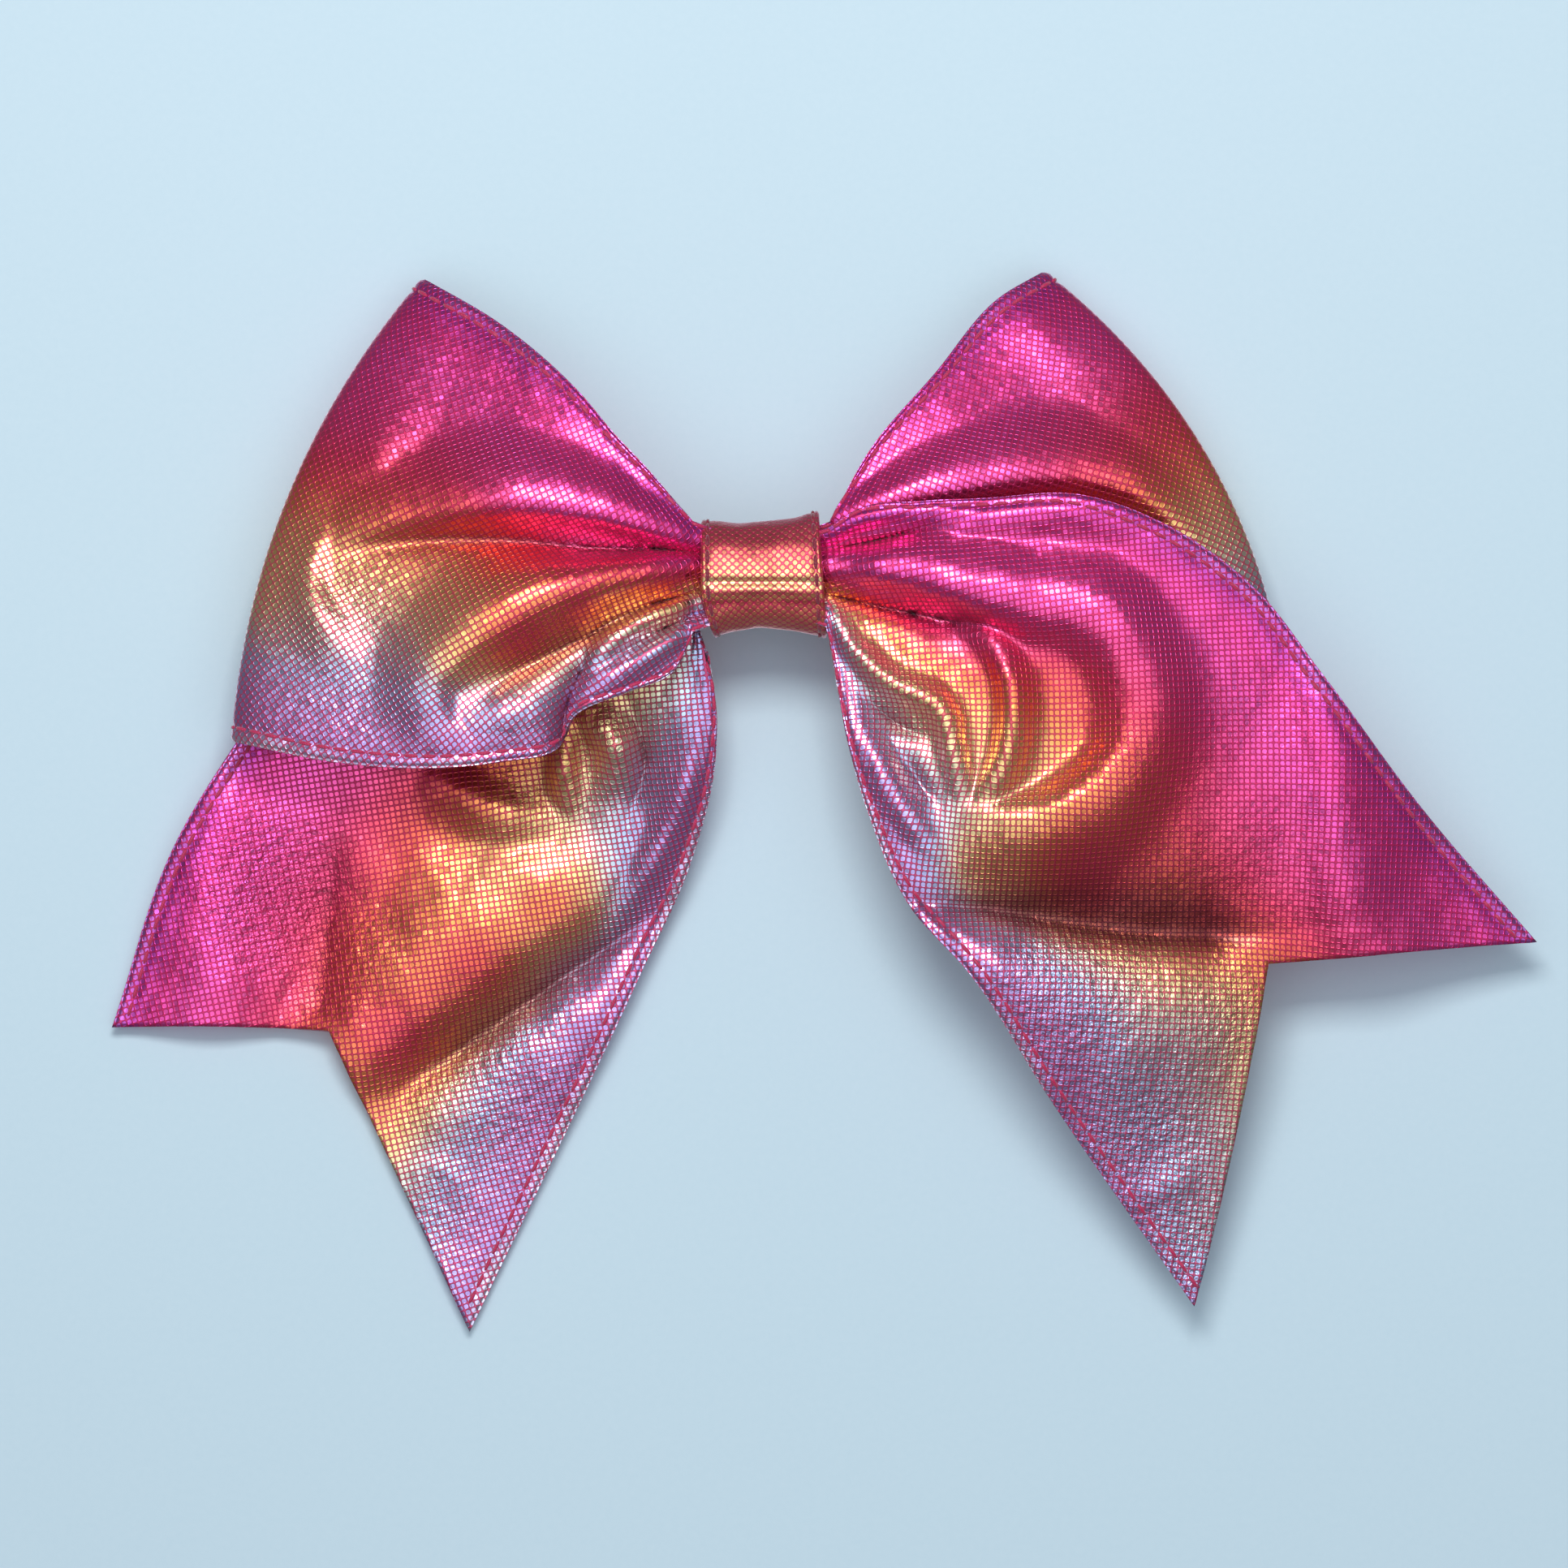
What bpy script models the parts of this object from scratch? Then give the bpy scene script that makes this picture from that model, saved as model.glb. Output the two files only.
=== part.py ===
"""A cheer hair bow lying on its back: four panels of foil-dot ribbon pinched in a knot, on a sprung hair clip.

Metres, +Z up out of the bow's face, +X to its right, +Y to its top. The origin is under the middle of the bow,
on the rest plane, where the clip's thumb tab lies. Shapes are drawn with the knot over the origin, and every
object is then placed by KNOT_X and KNOT_Y.
"""

import math

import bmesh
import bpy
import numpy as np

MM = 0.001
GAP = 0.3 * MM  # between pieces that touch in the real bow

# The ribbon
PLY = 0.5 * MM
SEAM_SHARE = 0.03  # how far the topstitching sits inside each hem, as a share of the ribbon's width
THREAD = 0.2 * MM
THREAD_LIFT = GAP + 0.1 * MM  # clear of the cloth between one point of a cord and the next
PLY_OFFSET = (GAP + PLY) / 2  # from the ribbon's middle surface to the middle of either ply

# The knot
KNOT_X = -9.5 * MM
KNOT_Y = 34.0 * MM
KNOT_Z = 19.6 * MM
KNOT_HALF_LENGTH = 9.3 * MM
KNOT_HALF_HEIGHT = 8.7 * MM
KNOT_FLARE = 0.7 * MM
KNOT_HALF_DEPTH = 6.9 * MM
WRAP_WALL = 1.3 * MM
LAYER_STEP = 3.5 * MM  # between the three layers of ribbon where they leave the knot
SQUARENESS = 2 / 2.6

# The clip
CLIP_TOP = 9.7 * MM
CLIP_LEFT = -26 * MM
CLIP_RIGHT = 24 * MM
SHEET = 0.8 * MM
BASE_WIDTH = 9 * MM
LEVER_WIDTH = 6.6 * MM
PIVOT_X = 5 * MM
PIVOT_Z = 5.9 * MM
PIN_RADIUS = 0.7 * MM
COIL_RADIUS = 1.45 * MM
WIRE = 0.28 * MM

HEM_LINES = np.array([0, SEAM_SHARE, 0.14, 0.26, 0.38, 0.5, 0.62, 0.74, 0.86, 1 - SEAM_SHARE, 1])
LOOP_STEPS = 14
TAIL_STEPS = 13

# Hems in millimetres, from the knot outwards
LEFT_LOOP_UPPER = [(-10.6, 8.3), (-17.3, 16.9), (-27.3, 29.4), (-39.8, 39.4), (-51.6, 46)]
LEFT_LOOP_LOWER = [(-10.6, -8.3), (-16.8, -16.8), (-29, -23), (-40, -28), (-64.8, -28.5), (-80.4, -25)]
RIGHT_LOOP_UPPER = [(10.6, 8.3), (16.5, 19.4), (26.5, 31.3), (36.5, 43.1), (43.1, 47.1)]
RIGHT_LOOP_LOWER = [(10.6, -8.3), (24, -17), (42, -24), (62, -25), (80.2, -18.8)]
LEFT_TAIL_OUTER = [(-11.8, 7.6), (-26, 11), (-48, 6), (-68, -8), (-81, -25.6), (-90, -40.6), (-99.8, -68.8)]
LEFT_TAIL_INNER = [(-11.8, -7.6), (-13.4, -12.5), (-8.4, -28), (-11, -44.1), (-18.5, -60.6), (-44.8, -115.6)]
RIGHT_TAIL_OUTER = [(10.6, 7.6), (18, 10.8), (34, 12), (48, 12.6), (62, 7.8), (85.3, -14.5), (118.8, -55.6)]
RIGHT_TAIL_INNER = [(10.6, -7.6), (12.3, -20), (15.6, -34), (22.6, -50), (37.8, -69.4), (66.3, -111.4)]


def clear_scene():
    for found in list(bpy.data.objects):
        bpy.data.objects.remove(found, do_unlink=True)


# Materials


def material(name, colour, roughness, metallic):
    made = bpy.data.materials.new(name)
    made.use_nodes = True
    shader = made.node_tree.nodes["Principled BSDF"]
    shader.inputs["Base Color"].default_value = (*colour, 1)
    shader.inputs["Roughness"].default_value = roughness
    shader.inputs["Metallic"].default_value = metallic
    return made


def foil_cloth():
    return material("foil_dot_cloth", (0.72, 0.09, 0.2), 0.42, 0.35)


def lining_cloth():
    return material("foil_dot_cloth_reverse", (0.66, 0.08, 0.2), 0.45, 0.3)


def wrap_cloth():
    return material("knot_wrap_cloth", (0.8, 0.32, 0.18), 0.42, 0.35)


def sewing_thread():
    return material("crimson_thread", (0.45, 0.02, 0.09), 0.7, 0)


def clip_steel():
    return material("nickel_plated_steel", (0.72, 0.72, 0.74), 0.28, 1)


def spring_steel():
    return material("spring_steel", (0.5, 0.5, 0.53), 0.35, 1)


def hot_glue():
    return material("hot_glue", (0.85, 0.83, 0.76), 0.3, 0)


# Shapes


def dress(found, made, smooth=True):
    found.data.materials.append(made)
    if found.type == "MESH":
        found.data.polygons.foreach_set("use_smooth", [smooth] * len(found.data.polygons))
    return found


def place(found):
    found.location = (KNOT_X, KNOT_Y, 0)
    bpy.context.scene.collection.objects.link(found)
    return found


def mesh_object(name, points, faces):
    mesh = bpy.data.meshes.new(name)
    mesh.from_pydata([tuple(map(float, p)) for p in points], [], faces)
    work = bmesh.new()
    work.from_mesh(mesh)
    bmesh.ops.recalc_face_normals(work, faces=work.faces)
    work.to_mesh(mesh)
    work.free()
    return place(bpy.data.objects.new(name, mesh))


def slab(name, top, under):
    """One closed solid between two grids of points of the same size."""
    rows, columns = top.shape[:2]
    number = np.arange(rows * columns).reshape(rows, columns)
    below = number + rows * columns
    faces = []
    for i in range(rows - 1):
        for j in range(columns - 1):
            for corners in (((i, j), (i + 1, j), (i + 1, j + 1)), ((i, j), (i + 1, j + 1), (i, j + 1))):
                faces.append([int(number[at]) for at in corners])
                faces.append([int(below[at]) for at in reversed(corners)])
    around = [(0, j) for j in range(columns)]
    around += [(i, columns - 1) for i in range(1, rows)]
    around += [(rows - 1, j) for j in range(columns - 2, -1, -1)]
    around += [(i, 0) for i in range(rows - 2, 0, -1)]
    for here, after in zip(around, around[1:] + around[:1]):
        faces.append([int(number[here]), int(number[after]), int(below[after]), int(below[here])])
    return mesh_object(name, np.concatenate([top.reshape(-1, 3), under.reshape(-1, 3)]), faces)


def cord(name, points, radius):
    """A round cord through the points, with flat ends."""
    curve = bpy.data.curves.new(name, "CURVE")
    curve.dimensions = "3D"
    curve.bevel_depth = radius
    curve.bevel_resolution = 1
    curve.use_fill_caps = True
    line = curve.splines.new("POLY")
    line.points.add(len(points) - 1)
    for slot, point in zip(line.points, points):
        slot.co = (*map(float, point), 1)
    line.use_smooth = True
    return place(bpy.data.objects.new(name, curve))


def plate(name, outline, start, end, plane):
    """A flat sheet: the outline extruded from start to end. plane XY extrudes along Z, XZ along Y."""
    count = len(outline)
    levels = []
    for level in (start, end):
        if plane == "XY":
            levels += [(a, b, level) for a, b in outline]
        else:
            levels += [(a, level, b) for a, b in outline]
    faces = [list(range(count)), list(range(2 * count - 1, count - 1, -1))]
    faces += [[i, (i + 1) % count, (i + 1) % count + count, i + count] for i in range(count)]
    return mesh_object(name, levels, faces)


def boolean(found, tool, operation):
    step = found.modifiers.new(tool.name, "BOOLEAN")
    step.operation = operation
    step.solver = "EXACT"
    step.object = tool
    tool.hide_render = True
    tool.display_type = "WIRE"
    return found


def arc(centre, radius, start, end, steps):
    angles = np.radians(np.linspace(start, end, steps))
    return [(centre[0] + radius * math.cos(a), centre[1] + radius * math.sin(a)) for a in angles]


def superellipse(angle, half_y, half_z):
    c = np.cos(angle)
    s = np.sin(angle)
    y = half_y * np.sign(c) * np.abs(c) ** SQUARENESS
    z = half_z * np.sign(s) * np.abs(s) ** SQUARENESS
    return y, z


# Smooth lines


def through(stations, values, at):
    """A smooth line through the values at their stations, read at other stations."""
    stations = np.asarray(stations, float)
    values = np.asarray(values, float)
    slopes = np.gradient(values, stations, axis=0)
    i = np.clip(np.searchsorted(stations, at, side="right") - 1, 0, len(stations) - 2)
    span = stations[i + 1] - stations[i]
    u = (at - stations[i]) / span
    if values.ndim > 1:
        span = span[..., None]
        u = u[..., None]
    start = (1 + 2 * u) * (1 - u) ** 2 * values[i] + u * (1 - u) ** 2 * span * slopes[i]
    end = u**2 * (3 - 2 * u) * values[i + 1] + u**2 * (u - 1) * span * slopes[i + 1]
    return start + end


def hem(points, share):
    """Points in metres at shares of a hem's length."""
    points = np.array(points, float) * MM
    gaps = np.linalg.norm(np.diff(points, axis=0), axis=1)
    stations = np.concatenate([[0.0], np.cumsum(gaps)]) / gaps.sum()
    return through(stations, points, share)


def ease(share):
    share = np.clip(share, 0, 1)
    return share * share * (3 - 2 * share)


def loop_normals(surface):
    """Unit normals of a loop's grid of points, pointing out of the loop."""
    along = np.gradient(surface, axis=0)
    across = np.gradient(surface, axis=1)
    found = np.cross(across, along)
    found = found * np.sign(found[0, :, 2].mean())
    return found / np.linalg.norm(found, axis=-1, keepdims=True)


def straight_up(surface):
    """A tail lies flat enough for its plies to be laid one straight above the other."""
    return np.zeros_like(surface) + np.array([0.0, 0.0, 1.0])


# Panels of ribbon


def pleats(share, across, count, phase, at_knot, at_middle):
    """The height of the gathers, which grow out of the knot and flatten before the far end."""
    size = (at_knot + (at_middle - at_knot) * ease(share / 0.35)) * (1 - ease((share - 0.35) / 0.5))
    return size * MM * np.cos(2 * math.pi * (count * across + phase))


def loop_surface(upper, lower, bulge, middle, half, settle, gather):
    """The middle surface of a loop: out along its front, round the fold and back behind.

    middle and half are the loop's middle height and half depth at six shares of its length. settle is how far
    its upper corner sinks towards the table.
    """
    steps = np.linspace(0, 1, LOOP_STEPS + 1)
    outward = 1 - (1 - steps) ** 2
    share = np.concatenate([outward, outward[-2::-1]])[:, None]
    side = np.concatenate([np.ones(LOOP_STEPS), [0.0], -np.ones(LOOP_STEPS)])[:, None]
    across = np.tile(HEM_LINES[None, :], (len(share), 1))
    share = np.tile(share, (1, across.shape[1]))
    top = hem(upper, share)
    bottom = hem(lower, share)
    flat = top * (1 - across[..., None]) + bottom * across[..., None]
    ends = np.array([upper[-1], lower[-1]], float)
    edge = ends[1] - ends[0]
    outwards = np.array([-edge[1], edge[0]]) / np.linalg.norm(edge)
    outwards = outwards * np.sign(outwards @ ends.mean(axis=0))
    flat = flat + (bulge * MM * share**3 * 4 * across * (1 - across))[..., None] * outwards
    stations = np.linspace(0, 1, 6)
    centre = through(stations, np.array(middle) * MM, share)
    depth = through(stations, np.array(half) * MM, share)
    closing = np.sqrt(1 - share ** (2 / SQUARENESS)) ** SQUARENESS
    height = centre + side * closing * depth - settle * MM * ease(share / 0.8) * (1 - across) ** 2
    height = height + pleats(share, across, *gather) * np.where(side < 0, 0.6, 1)
    return np.dstack([flat, height])


def tail_surface(outer, inner, notch, distances, levels, gather):
    """The middle surface of a tail, with a V-cut end whose point lies at the notch's share of the length."""
    across = np.tile(HEM_LINES[None, :], (TAIL_STEPS + 1, 1))
    reach = 1 - (1 - notch) * (1 - np.abs(2 * across - 1))
    share = np.linspace(0, 1, TAIL_STEPS + 1)[:, None] ** 1.15 * reach
    top = hem(outer, share)
    bottom = hem(inner, share)
    flat = top * (1 - across[..., None]) + bottom * across[..., None]
    distance = np.linalg.norm(flat, axis=-1)
    height = through(np.array(distances) * MM, np.array(levels) * MM, distance)
    height = height + pleats(share, across, *gather)
    return np.dstack([flat, height])


def plies(panel, surface, away, up_ply, down_ply, last=None):
    """The panel's two plies, laid along away, and the topstitching by its hems, which starts outside the knot."""
    thick = PLY / 2
    for name, offset, made in ((up_ply, PLY_OFFSET, foil_cloth()), (down_ply, -PLY_OFFSET, lining_cloth())):
        top = surface + away * (offset + thick)
        under = surface + away * (offset - thick)
        dress(slab(f"{panel}_{name}", top, under), made)
    lift = PLY_OFFSET + thick + THREAD_LIFT + THREAD
    for name, line in (("upper", 1), ("lower", -2)):
        points = (surface[:, line] + away[:, line] * lift)[1:last]
        dress(cord(f"{panel}_topstitch_{name}", points, THREAD), sewing_thread())


def left_loop():
    surface = loop_surface(
        LEFT_LOOP_UPPER,
        LEFT_LOOP_LOWER,
        6.2,
        middle=(21.35, 22.2, 22.0, 20.0, 17.4, 15.5),
        half=(1.75, 2.8, 4.8, 7.6, 8.4, 8.4),
        settle=8.6,
        gather=(2, 0.15, 0.8, 2.0),
    )
    plies("left_loop", surface, loop_normals(surface), "front_ply", "back_ply", last=-1)


def right_loop():
    surface = loop_surface(
        RIGHT_LOOP_UPPER,
        RIGHT_LOOP_LOWER,
        7.7,
        middle=(17.85, 18.2, 17.8, 14.6, 12.2, 10.8),
        half=(1.75, 2.2, 3.2, 6.0, 6.8, 6.8),
        settle=5.2,
        gather=(2, 0.55, 0.8, 1.2),
    )
    plies("right_loop", surface, loop_normals(surface), "back_ply", "front_ply", last=-1)


def left_tail():
    surface = tail_surface(
        LEFT_TAIL_OUTER,
        LEFT_TAIL_INNER,
        0.75,
        distances=(0, 12, 24, 32, 46, 62, 85, 140),
        levels=(16.1, 15.9, 13.7, 11.6, 6.2, 2.8, 1.5, 1.2),
        gather=(2, 0.3, 0.6, 0.8),
    )
    plies("left_tail", surface, straight_up(surface), "front_ply", "back_ply")


def right_tail():
    surface = tail_surface(
        RIGHT_TAIL_OUTER,
        RIGHT_TAIL_INNER,
        0.76,
        distances=(0, 12, 28, 48, 66, 84, 104, 124, 150),
        levels=(23.1, 23.4, 25.6, 26.0, 24.6, 18.6, 8.2, 2.2, 1.2),
        gather=(2, 0.8, 0.9, 1.4),
    )
    plies("right_tail", surface, straight_up(surface), "front_ply", "back_ply")


# The knot


def knot_half_height(x):
    return KNOT_HALF_HEIGHT + KNOT_FLARE * (x / KNOT_HALF_LENGTH) ** 2


def wrap_ring(angle, x, offset):
    y, z = superellipse(angle, knot_half_height(x) + offset, KNOT_HALF_DEPTH + offset)
    return np.stack([x, y, KNOT_Z + z], axis=-1)


def wrap_offset(angle, first, last):
    """The outer end of the wrap climbs over its inner end at the back of the knot."""
    climb = ease((angle - (last - math.radians(66))) / math.radians(36))
    return climb * (WRAP_WALL + GAP)


def knot_wrap():
    lap = math.radians(12)
    first = -math.pi / 2 - lap
    last = first + 2 * math.pi + 2 * lap
    angle = np.linspace(first, last, 45)[:, None]
    x = np.linspace(-KNOT_HALF_LENGTH, KNOT_HALF_LENGTH, 5)[None, :]
    angle, x = np.broadcast_arrays(angle, x)
    offset = wrap_offset(angle, first, last)
    outer = wrap_ring(angle, x, offset)
    inner = wrap_ring(angle, x, offset - WRAP_WALL)
    dress(slab("knot_wrap", outer, inner), wrap_cloth())


def wrap_stitches():
    angle = np.radians(np.linspace(-40, 220, 25))
    lift = GAP + THREAD
    for name, x in (("left", -8.1 * MM), ("right", 8.1 * MM)):
        points = wrap_ring(angle, np.full_like(angle, x), lift)
        dress(cord(f"knot_wrap_stitching_{name}", points, THREAD), sewing_thread())


def pinched_ribbon():
    """The ribbon inside the knot: a gathered bundle with a waist for the thread, pleated round its outside."""
    length = 10 * MM
    along = np.linspace(-length, length, 9)[:, None]
    angle = np.linspace(0, 2 * math.pi, 36, endpoint=False)[None, :]
    along, angle = np.broadcast_arrays(along, angle)
    opening = ease(np.abs(along) / length)
    pleat = 1 + 0.04 * np.cos(9 * angle)
    half_y = (5.5 * MM + 1.7 * MM * opening) * pleat
    half_z = (4.1 * MM + 1.1 * MM * opening) * pleat
    y, z = superellipse(angle, half_y, half_z)
    rings = np.stack([along, y, KNOT_Z + z], axis=-1)
    rows, count = angle.shape
    number = np.arange(rows * count).reshape(rows, count)
    faces = [[int(i) for i in number[0]], [int(i) for i in number[-1][::-1]]]
    for i in range(rows - 1):
        for j in range(count):
            after = (j + 1) % count
            faces.append([int(n) for n in (number[i, j], number[i, after], number[i + 1, after], number[i + 1, j])])
    dress(mesh_object("pinched_ribbon", rings.reshape(-1, 3), faces), lining_cloth())


def gathering_thread():
    turns = 3
    angle = np.linspace(0, 2 * math.pi * turns, 14 * turns + 1)
    x = np.linspace(-1.4 * MM, 1.4 * MM, len(angle))
    y, z = superellipse(angle, 6.5 * MM, 5.0 * MM)
    points = np.stack([x, y, KNOT_Z + z], axis=-1)
    dress(cord("gathering_thread", points, 0.26 * MM), sewing_thread())


def glue_pad():
    corner = 2 * MM
    half_x = 7 * MM
    half_y = 3.2 * MM
    outline = []
    for quarter, (x, y) in enumerate(((1, 1), (-1, 1), (-1, -1), (1, -1))):
        centre = (x * (half_x - corner), y * (half_y - corner))
        outline += arc(centre, corner, 90 * quarter, 90 * quarter + 90, 5)
    start = CLIP_TOP + GAP
    dress(plate("clip_glue_pad", outline, start, start + SHEET, "XY"), hot_glue(), smooth=False)


# The clip


def pin_hole(name):
    outline = arc((PIVOT_X, PIVOT_Z), PIN_RADIUS + GAP, 0, 345, 24)
    return plate(name, outline, -8 * MM, 8 * MM, "XZ")


def clip_base():
    half = BASE_WIDTH / 2
    low = CLIP_TOP - SHEET
    tip = arc((CLIP_LEFT + 3 * MM, 0), 3 * MM, 120, 240, 9)
    tail = arc((CLIP_RIGHT - half, 0), half, -60, 60, 9)
    outline = tip + [(CLIP_LEFT + 8 * MM, -half)] + tail + [(CLIP_LEFT + 8 * MM, half)]
    found = plate("clip_base", outline, low, CLIP_TOP, "XY")
    ear = arc((PIVOT_X, PIVOT_Z), 2.3 * MM, 180, 360, 11)
    ear = [(PIVOT_X - 3.2 * MM, CLIP_TOP - SHEET / 2)] + ear + [(PIVOT_X + 3.2 * MM, CLIP_TOP - SHEET / 2)]
    for name, side in (("left_ear_tool", -1), ("right_ear_tool", 1)):
        span = sorted((side * (half - 0.05 * MM), side * (half - SHEET)))
        boolean(found, plate(name, ear, *span, "XZ"), "UNION")
    boolean(found, pin_hole("base_pin_hole_tool"), "DIFFERENCE")
    return dress(found, clip_steel(), smooth=False)


def lever_profile():
    """The lever's sheet seen from the side: the jaw, the straight part under the pivot and the thumb tab."""
    lip = CLIP_TOP - SHEET - GAP - SHEET
    line = [
        (CLIP_LEFT, lip),
        (CLIP_LEFT + 4 * MM, lip),
        (-4 * MM, 3.0 * MM),
        (10 * MM, 3.0 * MM),
        (16.5 * MM, 0.0),
        (23 * MM, 0.0),
    ]
    return line + [(x, z + SHEET) for x, z in reversed(line)]


def clip_lever():
    half = LEVER_WIDTH / 2
    found = plate("clip_lever", lever_profile(), -half, half, "XZ")
    ear = arc((PIVOT_X, PIVOT_Z), 1.6 * MM, 0, 180, 9)
    ear = [(PIVOT_X + 2.6 * MM, 3.4 * MM)] + ear + [(PIVOT_X - 2.6 * MM, 3.4 * MM)]
    for name, side in (("left_lever_ear_tool", -1), ("right_lever_ear_tool", 1)):
        span = sorted((side * (half - 0.05 * MM), side * (half - 0.75 * MM)))
        boolean(found, plate(name, ear, *span, "XZ"), "UNION")
    boolean(found, pin_hole("lever_pin_hole_tool"), "DIFFERENCE")
    dress(found, clip_steel(), smooth=False)
    axis = bpy.data.objects.new("clip_hinge_axis", None)
    axis.location = (KNOT_X + PIVOT_X, KNOT_Y, PIVOT_Z)
    bpy.context.scene.collection.objects.link(axis)
    found.parent = axis
    found.matrix_parent_inverse = axis.matrix_basis.inverted()


def clip_pin():
    """A plain shaft with a flat head at each end, turned about its own axis."""
    head = 1.25 * MM
    inside = BASE_WIDTH / 2 + GAP
    outside = inside + 0.5 * MM
    profile = [(-outside, head), (-inside, head), (-inside, PIN_RADIUS), (inside, PIN_RADIUS), (inside, head)]
    profile.append((outside, head))
    count = 20
    points = []
    for y, radius in profile:
        points += [(x, y, z) for x, z in arc((PIVOT_X, PIVOT_Z), radius, 0, 360 - 360 / count, count)]
    faces = [list(range(count)), list(range(len(points) - 1, len(points) - count - 1, -1))]
    for ring in range(len(profile) - 1):
        for i in range(count):
            a = ring * count + i
            b = ring * count + (i + 1) % count
            faces.append([a, b, b + count, a + count])
    dress(mesh_object("clip_pivot_pin", points, faces), clip_steel())


def clip_spring():
    """A torsion spring: a coil round the pin, one leg under the base and one on the thumb tab."""
    turns = 4
    angle = np.linspace(-math.pi / 2, -math.pi / 2 - 2 * math.pi * (turns - 0.5), 12 * turns)
    y = np.linspace(-1.5 * MM, 1.5 * MM, len(angle))
    x = PIVOT_X + COIL_RADIUS * np.cos(angle)
    z = PIVOT_Z + COIL_RADIUS * np.sin(angle)
    coil = list(zip(x, y, z))
    tab_leg = [(14 * MM, y[0], 3.1 * MM), (10 * MM, y[0], 4.5 * MM)]
    base_leg = [(9 * MM, y[-1], 8.1 * MM), (14 * MM, y[-1], 8.1 * MM)]
    dress(cord("clip_spring", tab_leg + coil + base_leg, WIRE), spring_steel())


def main():
    clear_scene()
    left_loop()
    right_loop()
    left_tail()
    right_tail()
    knot_wrap()
    wrap_stitches()
    pinched_ribbon()
    gathering_thread()
    glue_pad()
    clip_base()
    clip_lever()
    clip_pin()
    clip_spring()


main()
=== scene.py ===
"""The looks of the cheer hair bow: foil-dot ribbon, stitching, knot and clip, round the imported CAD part.

The part's own frame is in metres, and the knot's place is read from it. Hems, folds and threads are drawn in
millimetres from the knot's middle, at the size the ribbon is known to be.
"""

import math

import bpy
import numpy as np
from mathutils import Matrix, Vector


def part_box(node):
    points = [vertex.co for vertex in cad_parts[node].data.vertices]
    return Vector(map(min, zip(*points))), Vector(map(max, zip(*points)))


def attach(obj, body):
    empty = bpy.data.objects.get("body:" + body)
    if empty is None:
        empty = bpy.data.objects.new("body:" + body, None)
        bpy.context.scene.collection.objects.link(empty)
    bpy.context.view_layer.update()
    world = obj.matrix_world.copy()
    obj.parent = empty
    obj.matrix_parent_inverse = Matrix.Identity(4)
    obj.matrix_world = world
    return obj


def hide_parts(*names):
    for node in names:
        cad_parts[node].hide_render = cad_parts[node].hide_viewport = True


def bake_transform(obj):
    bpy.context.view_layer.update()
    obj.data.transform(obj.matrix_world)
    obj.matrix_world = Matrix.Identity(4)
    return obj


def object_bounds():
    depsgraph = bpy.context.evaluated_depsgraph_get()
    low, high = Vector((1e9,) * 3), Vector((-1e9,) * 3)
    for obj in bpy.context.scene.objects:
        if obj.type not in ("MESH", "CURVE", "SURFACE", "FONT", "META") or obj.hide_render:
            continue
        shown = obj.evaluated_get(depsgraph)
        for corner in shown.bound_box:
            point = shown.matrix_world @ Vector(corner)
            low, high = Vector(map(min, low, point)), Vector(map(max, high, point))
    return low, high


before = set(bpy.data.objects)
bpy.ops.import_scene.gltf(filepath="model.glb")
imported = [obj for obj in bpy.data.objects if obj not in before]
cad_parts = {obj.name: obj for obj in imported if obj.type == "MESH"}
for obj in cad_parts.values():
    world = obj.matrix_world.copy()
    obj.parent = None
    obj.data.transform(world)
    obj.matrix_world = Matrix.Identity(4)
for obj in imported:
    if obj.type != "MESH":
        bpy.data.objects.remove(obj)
CAD_LOW, CAD_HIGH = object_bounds()

MM = 0.001
KNOT_LOW, KNOT_HIGH = (np.array(corner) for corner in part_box("knot_wrap"))
BUNDLE_LOW, BUNDLE_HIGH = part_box("pinched_ribbon")
KNOT_X, KNOT_Y, _ = (KNOT_LOW + KNOT_HIGH) / 2
KNOT_Z = BUNDLE_LOW.z / 2 + BUNDLE_HIGH.z / 2
WRAP_HALF_LENGTH = (KNOT_HIGH[0] - KNOT_LOW[0]) / 2 / MM
LOWEST = (CAD_LOW.z - KNOT_Z) / MM + 0.75  # the ribbon's middle surface where it lies on the rest plane

# Millimetres
RIBBON_WIDTH = 76.0
SEAM_INSET = 2.3  # from the hem to the topstitching
HEM_RADIUS = 1.1
PLY_FACE = 0.5  # from the ribbon's middle surface to the face of either ply
PLY_CORE = 0.04  # from the ribbon's middle surface to the inside of either ply
STITCH = 2.2
STITCH_STEP = 2.8
THREAD = 0.3  # a thread's radius
DOT_PITCH = 0.9
LOOP_REACH = 84.0
TAIL_REACH = 120.0
WRAP_PLY = 1.1
WRAP_HEM = 1.1  # from the wrap's side edges to their stitching

GRID = 0.8  # spacing of the cloth's grid, in millimetres
MOUTH_ROWS = 8  # rows of that grid inside the knot
BARE_ROWS = 5  # rows inside the knot that have no stitches
HEM_CROWDING = 0.055  # how much closer together the grid's lines are beside the hems
FOLD_CROWDING = 1.8  # and its rows towards a loop's fold
FOLD_SQUARENESS = 2 / 2.6
CLOTH_SQUARENESS = 2.6
WRAP_SQUARENESS = 2.06


# Smooth lines and fields


def ease(share):
    share = np.clip(share, 0, 1)
    return share * share * (3 - 2 * share)


def bell(distance, width):
    """1 at no distance, falling away smoothly over the width."""
    return np.exp(-((distance / width) ** 2))


def unit(vectors):
    return vectors / np.linalg.norm(vectors, axis=-1, keepdims=True)


def boxy(value, squareness):
    """A sine or cosine that draws a rounded box in place of a circle: 2 is round, more is squarer."""
    return np.sign(value) * np.abs(value) ** (2 / squareness)


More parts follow.
